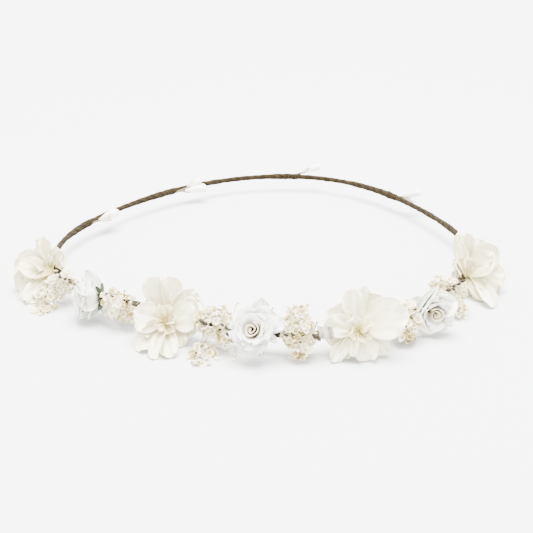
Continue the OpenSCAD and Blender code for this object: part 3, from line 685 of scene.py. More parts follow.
def wall_petal(bag, fr, phi, half, r0, r1, r2, z0, z1, curl, lean=0.0, seed=0, t=0.24, ruffle=0.3, warm=0.0, rows=24, cols=29):
    """A petal wrapped round the rose's axis at phi degrees: radius r0 at the foot, r1 at the belly, r2 at the lip."""
    C, X, Y, Z = fr
    r = np.random.default_rng(seed + 400)
    v = np.concatenate([np.linspace(0, 0.6, 10, endpoint=False), 0.6 + 0.4 * np.sin(np.linspace(0, np.pi / 2, rows - 10))])
    u = np.linspace(-1, 1, cols)
    h = np.where(v < 0.6, 0.5 + 0.5 * np.sin(v / 0.6 * np.pi / 2), np.sqrt(np.clip(1 - ((v - 0.6) / 0.4) ** 2.4, 0, 1)))
    h[-1] = max(h[-1], 0.12)
    ang = np.radians(phi) + np.radians(half) * h[:, None] * u[None]
    rad = (1 - v) ** 2 * r0 + 2 * v * (1 - v) * (2 * r1 - 0.5 * (r0 + r2)) * 1.0 + v ** 2 * r2
    z = z0 + (z1 - z0) * v
    q = np.clip((v - 0.74) / 0.26, 0, 1) ** 1.4
    edge = np.clip(np.abs(u)[None] - 0.62, 0, 1) / 0.38
    p = r.uniform(0, 6.28, 3)
    wave = ruffle * (np.sin(2.3 * u[None] * 2 + p[0]) + 0.5 * np.sin(5 * u[None] + p[1])) * v[:, None] ** 2
    R = rad[:, None] + curl * q[:, None] + curl * 0.6 * edge ** 1.6 * v[:, None] + wave + lean * u[None]
    Zz = z[:, None] - 0.55 * curl * q[:, None] ** 2 + 0.5 * wave + 0 * u[None]
    P = C + (R * np.cos(ang))[..., None] * X + (R * np.sin(ang))[..., None] * Y + Zz[..., None] * Z
    low = P[..., 2]
    lim = TABLE + 0.2
    P[..., 2] = np.where(low < lim + 0.6, lim + 0.6 * np.exp(np.clip((low - lim - 0.6) / 0.6, -8, 0)), low)
    V, F = shell(P, t)
    uv = np.stack([R * ang, Zz], -1).reshape(-1, 2)
    vv = np.repeat(v[:, None], cols, 1).ravel()
    ee = np.clip((np.abs(u)[None] ** 8 + np.clip((v - 0.93) / 0.07, 0, 1)[:, None] ** 2), 0, 1).ravel()
    # deep colour at the foot and grey rims are painted shade; warm on the inner face (0.4 of it outside) is painted
    # shade inside the cup
    bag.add(V, F, np.concatenate([uv, uv]) * 0.1, 0, vv=np.concatenate([vv, vv]), ee=np.concatenate([ee, ee]), tone=1.0,
            warm=np.concatenate([np.full(vv.size, warm), np.full(vv.size, warm * 0.4)]), fold=0.0)


def rose(k, angle, out, up, tilt, turn, spin, size, deep, leaves):
    fr = rose_frame(angle, out, up, tilt, turn)
    C, X, Y, Z = fr
    if k == 2:
        C = C + loc(-0.8, -0.9, 0)
        fr = (C, X, Y, Z)
    # the rolled heart: its beige cloth, darkening to the deep colour down the wall, is painted shade in the rose's
    # cavity
    H = Bag()
    n, m = 230, 13
    th = np.linspace(0, 2 * math.pi * 1.9, n) + k
    rr = 0.18 + 3.6 * size * (np.linspace(0, 1, n) ** 0.9)
    v = np.linspace(0, 1, m)
    lip = 6.3 * deep + 1.3 * np.linspace(0, 1, n) + 0.4 * np.sin(th * 0.9 + k) + 0.25 * np.sin(th * 2.3)
    R = rr[None] * (0.82 + 0.18 * v[:, None]) + 0.42 * np.clip((v[:, None] - 0.72) / 0.28, 0, 1) ** 1.6 + 0.10 * np.sin(th * 3.1)[None] * v[:, None]
    Zz = 1.2 + (lip[None] - 1.2) * v[:, None]
    P = C + (R * np.cos(th)[None])[..., None] * X + (R * np.sin(th)[None])[..., None] * Y + Zz[..., None] * Z
    V, F = shell(P, 0.26)
    uv = np.stack([R * th[None], Zz], -1).reshape(-1, 2)
    vv = np.repeat(v[:, None], n, 1).ravel()
    ee = np.clip((vv - 0.9) / 0.1, 0, 1)
    # vv is lowered so that most of the wall takes the deep colour, with some warm: painted shade in the cavity
    H.add(V, F, np.concatenate([uv, uv]) * 0.1, 0, vv=np.concatenate([vv, vv]) ** 1.8 * 0.92, ee=np.concatenate([ee, ee]), warm=0.16, tone=1.0)
    o = H.build(f"rose_{k}_rolled_heart", [HEART_PAINTED_SHADE])
    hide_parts(f"rose_{k}_heart")
    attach(o, "crown")
    # petals wrapped round it
    I = Bag()
    for i in range(4):
        # inner petals: warm 0.22 paints shade on their faces inside the cup
        wall_petal(I, fr, spin + 90 * i + 10, 66, 1.6, 4.9 * size, 5.6 * size, 0.2, (8.3 - 0.35 * (i % 3)) * deep, 0.8 + 0.35 * (i % 2), 0.42, k * 10 + i, 0.24, 0.34, 0.22)
    o = I.build(f"rose_{k}_inner_petals_cloth", [PAPER])
    cloth_sheet(o, "")
    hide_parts(f"rose_{k}_inner_petals")
    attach(o, "crown")
    O = Bag()
    for i in range(5):
        wall_petal(O, fr, spin + 72 * i + 40, 52, 1.9, 6.3 * size, 7.0 * size, -0.8, (7.4 - 0.6 * (i % 2)) * deep, 1.5, 0.55, k * 10 + i + 5, 0.26, 0.45, 0.08)
    for i in range(4):
        wall_petal(O, fr, spin + 90 * i + 8, 56, 2.0, 7.6 * size, 8.9 * size, -1.4, (5.6 - 0.9 * (i % 2)) * deep, 1.7, 0.6, k * 10 + i + 30, 0.26, 0.6, 0.0)
    if k == 2:
        # two large petals that stand behind the flower's upper right side, their lips rolled over
        petal(O, C + loc(1.5, 1.5, 1.0), C + loc(7.6, 8.4, 2.6), loc(-.3, -.3, 1), 11.0, 34, .5, .5, 3, 771, .6, .35, 0, .26, -2.0, .4, 0, 30, 27, 0, .1)
        petal(O, C + loc(-1.0, 1.5, 0.6), C + loc(-6.2, 8.2, 1.4), loc(.3, -.3, 1), 9.5, 30, .5, .5, 3, 772, .6, .35, 0, .26, -1.6, .4, 0, 30, 27, 0, .1)
    if k == 3:
        petal(O, C + loc(0.5, -1.0, 2.5), C + loc(9.2, 4.6, 5.0), loc(-.6, .2, .9), 12.5, 30, .45, .4, 3, 773, .6, .4, 0, .26, -1.2, .4, 0, 30, 27, 0, .1)
        petal(O, C + loc(-0.5, -1.0, 3.0), C + loc(-2.0, -9.0, 5.5), loc(.1, .6, .9), 12.0, 30, .4, .4, 3, 774, .6, .4, 0, .26, -1.0, .4, 0, 30, 27, 0, .1)
    if k == 1:
        petal(O, C + loc(0.5, 1.0, 3.0), C + loc(-7.6, 4.6, 6.6), loc(.1, .75, .7), 8.6, 40, .5, .5, 3, 775, .6, .4, 0, .26, -1.4, .4, 0, 30, 27, 0, .1)
        petal(O, C + loc(0.8, -0.5, 3.6), C + loc(-6.4, -2.6, 8.0), loc(-.1, .2, 1), 9.0, 44, .5, .5, 3, 776, .6, .4, 0, .26, -1.2, .4, 0, 30, 27, 0, .1)
    o = O.build(f"rose_{k}_outer_petals_cloth", [PAPER])
    cloth_sheet(o, "")
    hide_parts(f"rose_{k}_outer_petals")
    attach(o, "crown")
    # green cup and its pointed sepals
    G = Bag()
    zz = np.linspace(0, 1, 14)
    gs = 1.5 if k == 1 else 1.0
    P = C[None] + Z[None] * (-4.0 + 3.6 * zz)[:, None]
    V, F, U = tube(P, (0.85 + 1.15 * zz ** 1.5) * gs, 22)
    G.add(V, F, U, 0, warm=-0.4 if k == 1 else 0.0)
    if k == 1:
        q = np.linspace(0, 1, 12)
        P = C[None] + np.array([loc(1.6 + 3.4 * x, 1.0 - 0.5 * x, 3.4 - 0.9 * x) for x in q])
        V, F, U = tube(P, 2.5 - 1.5 * q ** 0.7, 20)
        G.add(V, F, U, 0, warm=-0.5)
        for j in range(4):
            b0 = C + loc(2.4, 1.4 - 0.9 * j, 4.4)
            petal(G, b0, b0 + loc(-2.6 + 0.5 * j, 3.4 - 2.5 * j, 1.2), loc(.2, .1, 1), 1.7, 24, .5, .15, 2, 880 + j, .4, .6, 0, .2, .2, 0, 0, 16, 11, .6, .1, 1.0, True, -0.25)
    for i in range(5):
        a = math.radians(spin + 72 * i)
        d = math.cos(a) * X + math.sin(a) * Y
        base, tip = C - Z * 2.3 + d * 1.4, C + Z * ((1.8 if k != 1 else -1.5) - 0.5 * (i % 2)) + d * (5.6 * size + 0.9 + 1.6 * (k == 1))
        petal(G, base, tip, Z, 2.3 * gs, 34, 0.5, 0.2, 2, k * 31 + i, 0.35, 0.7, 0, 0.22, 0.3, 0, 0, 16, 11, 0.6, 0.2, 1.0, True, 0.15)
    o = G.build(f"rose_{k}_green_cup", [CALYX])
    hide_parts(f"rose_{k}_calyx")
    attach(o, "crown")
    # leaves
    Lf = Bag()
    for i, (b, t, nn, w, bend, cup, rib, back, z) in enumerate(leaves):
        petal(Lf, put(C, b), put(C, t), loc(*nn), w, bend, cup, 0.35, 2.6, k * 57 + i, 0.45, 0.25, 0, 0.24, 0.3, 0, 0, 30, 21, 0.55, 0.12, 1.0, True, 0.0, rib, back)
    o = Lf.build(f"rose_{k}_leaf_cloth", [LEAF])
    cloth_sheet(o, "")
    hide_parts(f"rose_{k}_leaves")
    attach(o, "crown")
    stalk(f"rose_{k}_stalk", f"rose_{k}_stem", off(angle - 3.0, 1.2, 0, 0), C - Z * 4.6 + 0.4 * (off(angle, 0, 0, 0) - C), C - Z * 3.2, 0.6, DARKTAPE)


LEAF = leaf_mat()
# foot, tip, facing, width, arc, cupping, midrib, green back
ROSES = [
    ((219, 5, 1.6, 5, -35, 20), 0.70, 1.25, [
        ((1.6, 2.5, -1), (-5.3, 11.4, -1.5), (-.3, .3, 1), 5.0, 24, .3, .25, .5, 0),
        ((1.4, 2.6, 1), (-2.2, 6.6, 5.0), (-.3, .7, .7), 3.6, 40, .5, .9, .7, 0),
        ((2.4, -2.5, 0), (-7.6, -8.9, 2), (-.1, .4, 1), 5.4, -18, .3, .12, .4, 0),
        ((2.6, 0, 1.5), (4.6, -8.0, 3.5), (.3, .1, 1), 4.6, 20, .4, .75, .5, 0)]),
    ((267.5, 6.5, 4.5, 35, 0, 0), 0.74, 0.85, [
        ((1.6, 4.0, -1.5), (3.2, 13.2, -1.5), (.25, .1, 1), 7.6, 22, .25, .10, .5, 0),
        ((5.4, 4.6, .6), (7.6, 9.6, -.4), (.9, .1, .5), 2.0, 20, .3, .9, .8, 0),
        ((3.0, 1.6, -1), (13.4, 3.4, -.5), (.2, .5, 1), 7.6, 24, .35, .12, .5, 0),
        ((3.4, -0.5, .4), (9.6, -4.2, 1.4), (.3, .2, 1), 3.2, -20, .5, .95, .8, 0),
        ((1.0, -4.5, 0), (2.6, -10.5, 4), (.2, .2, 1), 4.0, -18, .5, .9, .8, 0)]),
    ((313.5, 7, 1.1, 5, -30, 40), 0.76, 0.95, [
        ((-7.8, -4.6, 7.0), (2.4, 10.3, 7.0), (-.35, .35, 1), 3.4, -22, .35, 1.7, .6, 0),
        ((-5.6, -4.4, -1.0), (2.4, 8.8, -2.0), (-.2, .2, 1), 7.0, 20, .3, .25, .5, 0),
        ((-1.6, 1.0, -2), (-7.5, 4.8, -1), (-.3, .3, 1), 5.0, 26, .3, .3, .5, 0),
        ((1.5, -2.0, -1), (9.0, -6.5, .5), (.2, .3, 1), 5.0, -18, .35, .25, .5, 0)]),
]
for k, (A, size, deep, lv) in enumerate(ROSES, 1):
    rose(k, *A, size, deep, lv)

# ------------------------------------------------------------------ sprays of tiny florets
SPRAYS = [
    (207.5, 4.5, -1.5, [(-2.8, 2.6, 5.6, 3.9, 14), (-7.1, -3.4, 5.2, 3.9, 16), (-9.2, -8.2, 3.5, 3, 9), (-0.2, 4.3, 3.9, 3, 6)]),
    (229, 2.5, 0, [(-4.5, 0.5, 6.2, 5.4, 26), (-8.6, 3.4, 3.3, 3.3, 8), (-0.3, -2.8, 3.3, 3.3, 8)]),
    (257, 3.5, -0.5, [(-1.6, 3.5, 7.2, 5.6, 30), (-6.1, -9.4, 5.2, 3.6, 17), (3.2, -3, 4, 3.2, 8), (-6.9, 11.9, 0.4, 0.4, 1), (7.2, 10.3, 0.4, 0.4, 1), (6.8, -9.8, 0.8, 0.8, 2), (7.6, 0.2, 0.4, 0.4, 1)]),
    (278.5, 2, 1.5, [(-2.3, 0.9, 6.8, 6.4, 32), (-3.1, 8, 3.6, 2.4, 7), (-1.5, -7.1, 4, 3.2, 8), (-3.1, 10.8, 0.4, 0.4, 1), (1.7, 10, 0.8, 0.8, 2), (5.2, 6.1, 0.8, 0.8, 2)]),
    (302.3, 2.5, 0, [(5.5, 1, 6.0, 7.0, 42), (3.3, 6.3, 3.2, 2.6, 8), (4.4, -5.4, 4.4, 2.6, 10)]),
    (326, 2, 0.5, [(1.3, 1.4, 6.4, 3.6, 19), (0.4, -3.4, 6, 3.6, 17), (4.3, -7.6, 3, 3, 9), (-4.7, 3.6, 3.4, 2.8, 9)]),
]


# dark short tubes among the florets, each on a thin tube from lower down: x, y, radius, slope
SPECKS = {
    1: [(-3.2, 7.4, 0.5, 20), (-1.5, 5.6, 0.5, -30), (0.7, 4.8, 0.4, 20), (2.8, 3.5, 0.5, -20)],
    2: [(1.6, 1.3, 0.6, -10), (-0.7, 3.0, 0.35, 30)],
    3: [(-6.1, 3.9, 0.55, -20), (-4.9, 3.1, 0.6, 0), (2.0, 2.7, 0.4, -30), (3.6, 1.5, 0.45, -40), (5.2, 0.6, 0.4, -30), (4.0, -1.0, 0.4, -60), (6.8, -2.4, 0.4, -50)],
    4: [(-7.3, -0.3, 0.45, -10), (-4.3, -0.3, 0.4, 20), (-1.5, -3.1, 0.3, 60), (4.4, -0.8, 0.8, -15), (5.6, -1.6, 0.6, -55)],
    5: [(0.0, 3.5, 0.35, 0), (1.6, 2.6, 0.5, -20), (4.9, 2.2, 0.35, 10), (8.6, 5.1, 0.35, 40)],
    6: [(-1.3, 1.0, 0.5, 20), (0.9, 1.4, 0.4, -40), (0.9, 2.7, 0.5, 50), (3.0, 3.6, 0.5, 30), (4.7, 4.8, 0.55, 30)],
}


def floret(bag, p, n, size, r):
    """One floret: five or six cupped petals round a small rough core."""
    n = unit(n)
    a = unit(np.cross(n, [0.31, 0.52, 0.8]))
    b = np.cross(n, a)
    k = 5 if r.random() < 0.7 else 6
    s0 = r.uniform(0, 6.28)
    open_ = r.uniform(0.15, 1.0)
    wm = float(np.clip(r.normal(-0.06, 0.2) + 0.14 * math.sin(0.7 * p[0] + 0.9 * p[2]), -0.42, 0.35))
    for i in range(k):
        th = s0 + 2 * math.pi * i / k + r.uniform(-0.12, 0.12)
        d = math.cos(th) * a + math.sin(th) * b
        L = size * r.uniform(0.85, 1.1)
        tip = p + d * L * (0.55 + 0.45 * open_) + n * L * (0.75 - 0.6 * open_)
        w = L * r.uniform(0.72, 0.95)
        D = unit(tip - p)
        N = unit(n - np.dot(n, D) * D)
        S = np.cross(D, N)
        u = np.array([-1, -0.4, 0.4, 1.0])
        v = np.array([0.0, 0.35, 0.68, 0.9, 1.0])
        h = np.array([0.3, 0.85, 1.0, 0.72, 0.25])
        P = p + (v * L * 0.98)[:, None, None] * D + (0.25 * L * np.sin(np.pi * v))[:, None, None] * -N * 0.6 \
            + (w / 2 * h[:, None] * u[None])[..., None] * S + (0.22 * L * (u[None] ** 2) * h[:, None])[..., None] * N
        P = P + r.normal(0, 0.035, P.shape) * size
        P[..., 2] = np.maximum(P[..., 2], TABLE + 0.2)
        V, F = shell(P, 0.13)
        # warmth rises from each petal's foot to its tip: the darker foot is painted shade in the floret's cup; wm is
        # the floret's own random tone
        bag.add(V, F, None, 0, warm=np.tile(np.repeat(wm + 0.34 * v ** 0.8 - 0.22, 4), 2))
    # core
    q = np.array([[math.cos(t) * a + math.sin(t) * b for t in np.linspace(0, 2 * math.pi, 6, endpoint=False)]])[0]
    c = p + n * size * 0.16
    V = np.concatenate([c + q * size * 0.2 - n * 0.08, c + q * size * 0.13 + n * size * 0.17, [c + n * size * 0.24]])
    F = grid_faces(2, 6, 0, False, True) + [(6 + j, 6 + (j + 1) % 6, 12) for j in range(6)] + [tuple(range(5, -1, -1))]
    bag.add(V, F, None, 1, warm=0.0)


def bud_ball(bag, p, n, size, r):
    n = unit(n)
    z = np.linspace(0, 1, 8)
    rr = size * 0.42 * np.sin(np.pi * (0.08 + 0.9 * z)) ** 0.8
    V, F, U = tube(p[None] + n[None] * (z * size * 1.25)[:, None], rr, 9)
    bag.add(V, F, U, 0, warm=float(r.uniform(-0.2, 0.2)))


def spray(k, angle, out, up, groups):
    r = np.random.default_rng(900 + k)
    C = off(angle, out, 0, up)
    FL, ST = Bag(), Bag()
    root_ang = angle
    for (cx, cy, rx, ry, n) in groups:
        m = int(n * 2.8) if n > 3 else n
        for i in range(m):
            if n > 3:
                a, q = r.uniform(0, 6.28), math.sqrt(r.uniform(0, 1)) * 1.02
                dx, dy = q * math.cos(a), q * math.sin(a)
                dome = math.sqrt(max(0.0, 1 - q * q))
                front = r.random() < 0.72
                zz = (dome * 5.2 + r.uniform(-2.2, 1.0)) if front else -(dome * 3.4 + r.uniform(-0.5, 1.2))
            else:
                dx, dy, dome, front, zz = r.uniform(-1, 1), r.uniform(-1, 1), 0.5, True, r.uniform(0, 2)
            p = put(C, (cx + rx * dx, cy + ry * dy, zz + 0.6))
            nrm = 0.8 * loc(dx, dy, 0) + (TW if front else -TW) * (0.35 + 0.8 * dome) + np.array([0, 0, 0.35]) + r.normal(0, 0.32, 3)
            size = r.uniform(1.35, 2.1)
            near = root_ang + math.degrees(float(np.dot(p - C, along(root_ang))) / 90) * 0.8
            foot = off(near + r.uniform(-1.5, 1.5), r.uniform(0.6, 1.4), 0, r.uniform(-0.5, 0.9))
            if n <= 3 or r.random() < 0.2:
                bud_ball(FL, p, nrm, r.uniform(1.3, 1.9), r)
            else:
                floret(FL, p, nrm, size, r)
            if i % (5 if cy > -2.5 else 13) == 0 or n <= 3:
                n0 = unit(nrm)
                path = bezier(foot, foot * 0.55 + p * 0.45 + np.array([0, 0, r.uniform(-0.4, 1.2)]), p - n0 * r.uniform(1.0, 2.4), p + n0 * 0.05, 12)
                path[:, 2] = np.maximum(path[:, 2], TABLE + 0.25)
                V, F, U = tube(path, r.uniform(0.12, 0.2), 6)
                ST.add(V, F, U, 0, warm=float(r.uniform(-0.15, 0.15)))
    for (x, y, rad, slope) in SPECKS[k]:
        rad *= 1.35
        t = math.radians(slope)
        a = put(C, (x - 1.5 * rad * math.cos(t), y - 1.5 * rad * math.sin(t), 8.6))
        b = put(C, (x + 1.5 * rad * math.cos(t), y + 1.5 * rad * math.sin(t), 8.3))
        root = put(C, (x - 1.0, y + 0.6, 1.5))
        V, F, U = tube(bezier(root, 0.5 * (root + a) + TW, a, b, 14), rad * np.concatenate([np.full(7, 0.35), np.linspace(0.5, 1.0, 4), [1.0, 0.8, 0.3]]), 8)
        ST.add(V, F, U, 1, warm=float(r.uniform(-0.1, 0.1)))
    o = FL.build(f"spray_{k}_small_flowers", [FLORET, CORE])
    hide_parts(f"spray_{k}_florets")
    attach(o, "crown")
    o = ST.build(f"spray_{k}_twigs", [TWIG, DARK_SPECK])
    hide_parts(f"spray_{k}_stems")
    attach(o, "crown")


for k, S in enumerate(SPRAYS, 1):
    spray(k, *S)

# ------------------------------------------------------------------ the wire hoop and its wound tape


def ring_path(a0, a1, n, out=0.0, up=0.0):
    a = np.linspace(a0, a1, n)
    return a, np.array([off(x, out, 0, up) for x in a])


def wound(name, node, a0, a1, radius_of, turns_per_deg, mat, sides=22, n=400, step=0.16, out=0.0, closed=False, seed=0, slant=1.0):
    """Tape wound round the hoop: each turn laps the one before, leaving a slanted ridge."""
    a = np.linspace(a0, a1, n, endpoint=not closed)
    P = np.array([off(x, out, 0, 0) for x in a])
    O = np.array([out_dir(x) for x in a])
    U = np.tile([0, 0, 1.0], (n, 1))
    th = np.linspace(0, 2 * np.pi, sides, endpoint=False)
    ph = (a[:, None] * turns_per_deg + slant * th[None] / (2 * np.pi)) + 0.13 * np.sin(a[:, None] * 0.9 + seed) + 0.06 * np.sin(a[:, None] * 3.7)
    fr = ph - np.floor(ph)
    ridge = np.where(fr < 0.86, fr / 0.86, (1 - fr) / 0.14)
    R = np.array([radius_of(x) for x in a])[:, None] + step * (ridge - 0.5)
    R = R * (1 + 0.035 * np.sin(3 * th[None] + a[:, None] * 1.7) + 0.025 * np.sin(2 * th[None] - a[:, None] * 0.6 + seed) + 0.012 * np.sin(7 * th[None] + 11 * a[:, None]))
    V = P[:, None] + R[..., None] * (np.cos(th)[None, :, None] * O[:, None] + np.sin(th)[None, :, None] * U[:, None])
    F = []
    for i in range(n if closed else n - 1):
        i2 = (i + 1) % n
        for j in range(sides):
            j2 = (j + 1) % sides
            F.append((i * sides + j, i * sides + j2, i2 * sides + j2, i2 * sides + j))
    V = V.reshape(-1, 3)
    s = np.radians(a) * 90
    uv = np.stack([np.repeat(s[:, None], sides, 1), np.repeat((th * 1.1)[None], n, 0)], -1).reshape(-1, 2) * 0.1
    # ridge also sets the tape colour: painted highlight on the ridge, painted shade in the lap
    rd = ridge.ravel()
    if not closed:
        V = np.concatenate([V, P[:1], P[-1:]])
        c0, c1 = n * sides, n * sides + 1
        F += [(j, c0, (j + 1) % sides) for j in range(sides)] + [((n - 1) * sides + j, (n - 1) * sides + (j + 1) % sides, c1) for j in range(sides)]
        uv = np.concatenate([uv, [[0, 0], [s[-1] * 0.1, 0]]])
        rd = np.concatenate([rd, [0, 0]])
    return V, F, uv, rd


V, F, U = tube(np.array([off(x, 0, 0, 0) for x in np.linspace(0, 359.6, 721)]), 0.5, 12)
W = Bag()
W.add(V, F, U, 0, warm=0.0)
o = W.build("hoop_wire_core", [WIREM])
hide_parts("hoop_wire")
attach(o, "crown")

bumps = [(r_.uniform(0, 360), r_.uniform(1.2, 3.0), r_.uniform(-0.1, 0.16)) for r_ in [np.random.default_rng(77)] for _ in range(46)]


# the tape is piled up where it also holds a sprig, and just before the right-hand blossom
bumps += [(168, 6.0, 0.34), (131, 7.0, 0.36), (139, 2.0, 0.10), (86, 3.0, 0.20), (52, 7.5, 0.34), (60, 2.0, 0.12), (14, 4.5, 0.26), (170, 1.5, 0.08)]


def tape_r(a):
    x = 1.22
    for c, w, h in bumps:
        d = (a - c + 180) % 360 - 180
        x += h * math.exp(-(d / w) ** 2)
    return x


V, F, uv, rd = wound("t", "hoop_tape", 0, 360, tape_r, 0.33, TAPE, 20, 2520, 0.11, 0, True, 3, 2.0)
T = Bag()
T.add(V, F, uv, 0, ridge=rd)
o = T.build("hoop_tape_wound", [TAPE])
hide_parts("hoop_tape")
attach(o, "crown")

FLOWER_ANGLES = [196.5, 244, 289.5, 341.5, 219, 267.5, 313.5, 207.5, 229, 257, 278.5, 302.3, 326]
FB = Bag()
for i, c in enumerate(FLOWER_ANGLES):
    half = math.degrees(3.5 / 90)
    f = lambda a, c=c, i=i: 1.25 + 0.42 * max(0.0, 1 - ((a - c) / half) ** 2) ** 0.5 + 0.08 * math.sin(a * 2 + i)
    V, F, uv, rd = wound("b", "", c - half, c + half, f, 0.9, BIND, 22, 90, 0.20, 0.1, False, i, 1.0)
    FB.add(V, F, uv, 0, ridge=rd)
o = FB.build("flower_bindings_wound", [BIND])
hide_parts("flower_bindings")
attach(o, "crown")

# ------------------------------------------------------------------ the four small sprigs at the back
SPRIGS = [(161, -1.9, -0.2), (123, -1.9, -0.3), (79.5, 0.2, 2), (42, 1.9, 0.5)]
HEADS = [[(6, 13, 1.2, 1)], [(-1, 14, 1.2, 1.06), (19, 5, 4, 0.7)], [(22, -6, 1.2, 0.8)], [(26, -22, 1.2, 0.78), (1, -13, 1.6, 0.5)]]
SB = Bag()
for i, s in enumerate(SPRIGS):
    c = s[0] + 3.4
    half = math.degrees(3.6 / 90)
    f = lambda a, c=c, i=i: max(1.26, tape_r(a) - 0.02) + 0.24 * max(0.0, 1 - ((a - c) / half) ** 2) ** 0.5 + 0.07 * math.sin(a * 1.7 + i)
    V, F, uv, rd = wound("b", "", c - half, c + half, f, 0.9, BIND, 22, 90, 0.18, 0.0, False, i + 20, 1.0)
    SB.add(V, F, uv, 0, ridge=rd)
o = SB.build("sprig_bindings_wound", [BIND])
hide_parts("sprig_bindings")
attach(o, "crown")


def bud_mesh(bag, p, d, length, dia, seed):
    """A furled bud: a body with the lapped edges of its wrapped petals, blunt at the far end, and three narrow sepals
    at its foot.
    """
    d = unit(d)
    r = np.random.default_rng(seed)
    n, m = 56, 48
    t = np.linspace(0, 1, n)
    prof = dia / 2 * t ** 0.85 * np.sqrt(np.clip(1 - t ** 8, 0, 1)) * 1.08 + 0.22
    prof[-1] = 0.05
    th = np.linspace(0, 2 * np.pi, m, endpoint=False)
    a = unit(np.cross([0, 0, 1.0], d))
    b = np.cross(d, a)
    ph = 3 * th[None] / (2 * np.pi) + 0.75 * t[:, None] ** 1.3 + r.uniform(0, 1)
    fr = ph - np.floor(ph)
    lap = np.where(fr < 0.9, fr / 0.9, (1 - fr) / 0.1)
    R = prof[:, None] * (0.93 + 0.13 * lap * np.clip(t * 3, 0, 1)[:, None]) * (1 + 0.05 * np.sin(2 * th[None] + 3 * t[:, None]) + 0.02 * np.sin(9 * th[None] + 14 * t[:, None]))
    zz = t[:, None] * length + 0.10 * dia * (lap - 0.5) * np.clip((t[:, None] - 0.75) / 0.25, 0, 1)
    bend = 0.05 * length * np.sin(np.pi * t)[:, None]
    P = p + zz[..., None] * d + (R * np.cos(th)[None] + bend)[..., None] * a + (R * np.sin(th)[None])[..., None] * b
    F = grid_faces(n, m, 0, False, True)
    V = P.reshape(-1, 3)
    V = np.concatenate([V, (p)[None], (p + d * length * 0.985)[None]])
    F += [(j, n * m, (j + 1) % m) for j in range(m)] + [((n - 1) * m + j, (n - 1) * m + (j + 1) % m, n * m + 1) for j in range(m)]
    # darker just past each lapped edge: painted shade under the lap; also darker towards the foot
    w = np.concatenate([(0.22 * lap + 0.30 * t[:, None] - 0.22).ravel(), [-0.3, 0.1]])
    bag.add(V, F, None, 0, warm=w)
    for i in range(3):
        q = r.uniform(0, 6.28) + i * 2.1
        e = math.cos(q) * a + math.sin(q) * b
        petal(bag, p + e * 0.25, p + d * length * r.uniform(0.42, 0.6) + e * dia * 0.47, e, dia * 0.42, -22, -0.5, 0.1, 2, seed + i, 0.35, 0.5, 0, 0.2,
              0.1, 0, 0, 18, 11, 0.6, 0.05, 1.0, True, -0.28)


for k, (s, hs) in enumerate(zip(SPRIGS, HEADS), 1):
    root = off(s[0], s[1], 0, s[2])
    B, ST = Bag(), Bag()
    for j, (rise, turn, stem, share) in enumerate(hs):
        ph = math.radians(heading(s[0]) - 90 - turn)
        rs = math.radians(rise)
        d = np.array([math.cos(rs) * math.cos(ph), math.cos(rs) * math.sin(ph), math.sin(rs)])
        bud_mesh(B, root + d * (stem - 0.2), d, (12.2 if k != 4 else 13.6) * share, (5.2 if k != 4 else 5.6) * share, 40 * k + j)
        tail = off(s[0] + 2.4, 0.45 * s[1], 0, 0.45 * s[2] + 0.1)
        path = bezier(tail, 0.35 * tail + 0.65 * root, root + d * stem * 0.2, root + d * (stem + 0.9), 30)
        V, F, U = tube(path, 0.42 * (1 + 0.10 * np.sin(np.linspace(0, 14, 30))), 14)
        ST.add(V, F, U, 0, warm=0.05 * j)
    nd = "bud" if k in (1, 3) else "buds"
    o = B.build(f"sprig_{k}_white_{nd}", [BUD])
    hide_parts(f"sprig_{k}_{nd}")
    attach(o, f"sprig_{k}")
    o = ST.build(f"sprig_{k}_wire_stem", [STEM])
    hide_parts(f"sprig_{k}_stem")
    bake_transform(o)

# ------------------------------------------------------------------ a scrap of pleated gauze beside the second spray
C = off(282, 3, 0, 2.5)
n, m = 34, 97
v = np.linspace(0, 1, n)
u = np.linspace(-1, 1, m)
pl = 0.34 * np.sin(u[None] * 7 * np.pi / 1.0) * (0.8 + 0.2 * np.sin(7 * v[:, None]))
arc = -2.2 + 5.0 * v[:, None]
P = C + (2.7 + 2.9 * u[None] + 0.2 * np.sin(5 * v)[:, None])[..., None] * RT \
    + (-2.7 + 4.7 * v[:, None] + 0.2 * np.sin(6 * u[None]))[..., None] * UP \
    + (3.6 - 2.0 * v[:, None] ** 2 + pl)[..., None] * TW
V, F = shell(P, 0.2)
G = Bag()
G.add(V, F, np.concatenate([np.stack([np.repeat(u[None] * 4.5, n, 0), np.repeat(v[:, None] * 5.2, m, 1)], -1).reshape(-1, 2)] * 2) * 0.1, 0,
      warm=np.concatenate([(0.25 * np.sin(u[None] * 9 * np.pi) + 0 * v[:, None]).ravel()] * 2))
o = G.build("gauze_scrap", [TAUPE])
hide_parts("gauze_strip")
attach(o, "crown")

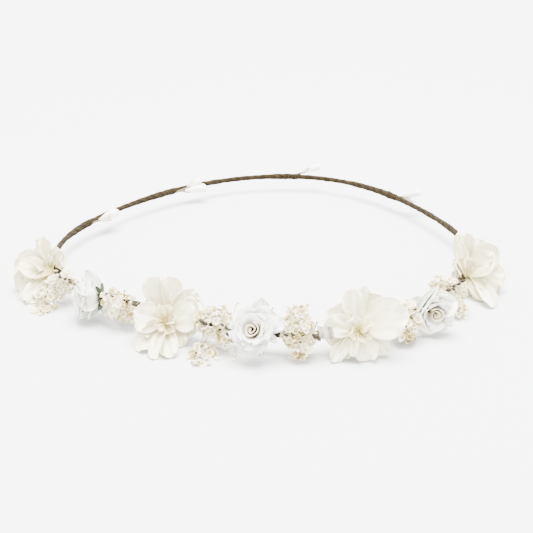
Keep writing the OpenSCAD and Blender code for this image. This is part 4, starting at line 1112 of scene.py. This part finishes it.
# ------------------------------------------------------------------ table, light and camera
fm = Mat("table_white")
fo = fm.coord("Object")
fn = fm.noise(fo, 3.0, 2.0)
fcol = fm.ramp(fn, [(0.0, (0.525, 0.525, 0.525)), (1.0, (0.529, 0.529, 0.529))])
p = fm.n("ShaderNodeBsdfPrincipled", {"Base Color": fcol, "Roughness": 0.9, "Specular IOR Level": 0.0})
fm.t.links.new(p.outputs[0], fm.out.inputs[0])
S = 4000.0
floor = make("table", [[-S, -S, TABLE], [S, -S, TABLE], [S, S, TABLE], [-S, S, TABLE]], [(0, 1, 2, 3)], [fm.m], smooth=False)

world = bpy.data.worlds.new("studio")
bpy.context.scene.world = world
world.use_nodes = True
wt = world.node_tree
wt.nodes.clear()
bg = wt.nodes.new("ShaderNodeBackground")
bg.inputs["Color"].default_value = (1, 1, 1, 1)
bg.inputs["Strength"].default_value = 6.3
wo = wt.nodes.new("ShaderNodeOutputWorld")
wt.links.new(bg.outputs[0], wo.inputs[0])


def area(name, loc_, aim, size, power, color=(1, 1, 1)):
    L = bpy.data.lights.new(name, "AREA")
    L.shape = "DISK"
    L.size = size
    L.energy = power
    L.color = color
    o = bpy.data.objects.new(name, L)
    bpy.context.scene.collection.objects.link(o)
    o.location = loc_
    o.rotation_euler = (Vector(aim) - Vector(loc_)).to_track_quat("-Z", "Y").to_euler()
    return o


area("overhead", (0.05, 0.10, 1.3), (0, 0, 0), 1.1, 178.0, (1.0, 0.995, 0.985))

cam = bpy.data.cameras.new("cam")
cam.lens = 85
cam.sensor_width = 36
co = bpy.data.objects.new("cam", cam)
bpy.context.scene.collection.objects.link(co)
at_, to = Vector((-0.001296, -0.53731, 0.23128)), Vector((-0.001296, -0.02466, 0))
fw = (to - at_).normalized()
rt = fw.cross(Vector((0, 0, 1))).normalized()
up_ = rt.cross(fw)
rl = math.radians(0.215)
r2, u2 = math.cos(rl) * rt + math.sin(rl) * up_, -math.sin(rl) * rt + math.cos(rl) * up_
co.matrix_world = Matrix(((r2.x, u2.x, -fw.x, at_.x), (r2.y, u2.y, -fw.y, at_.y), (r2.z, u2.z, -fw.z, at_.z), (0, 0, 0, 1)))
bpy.context.scene.camera = co
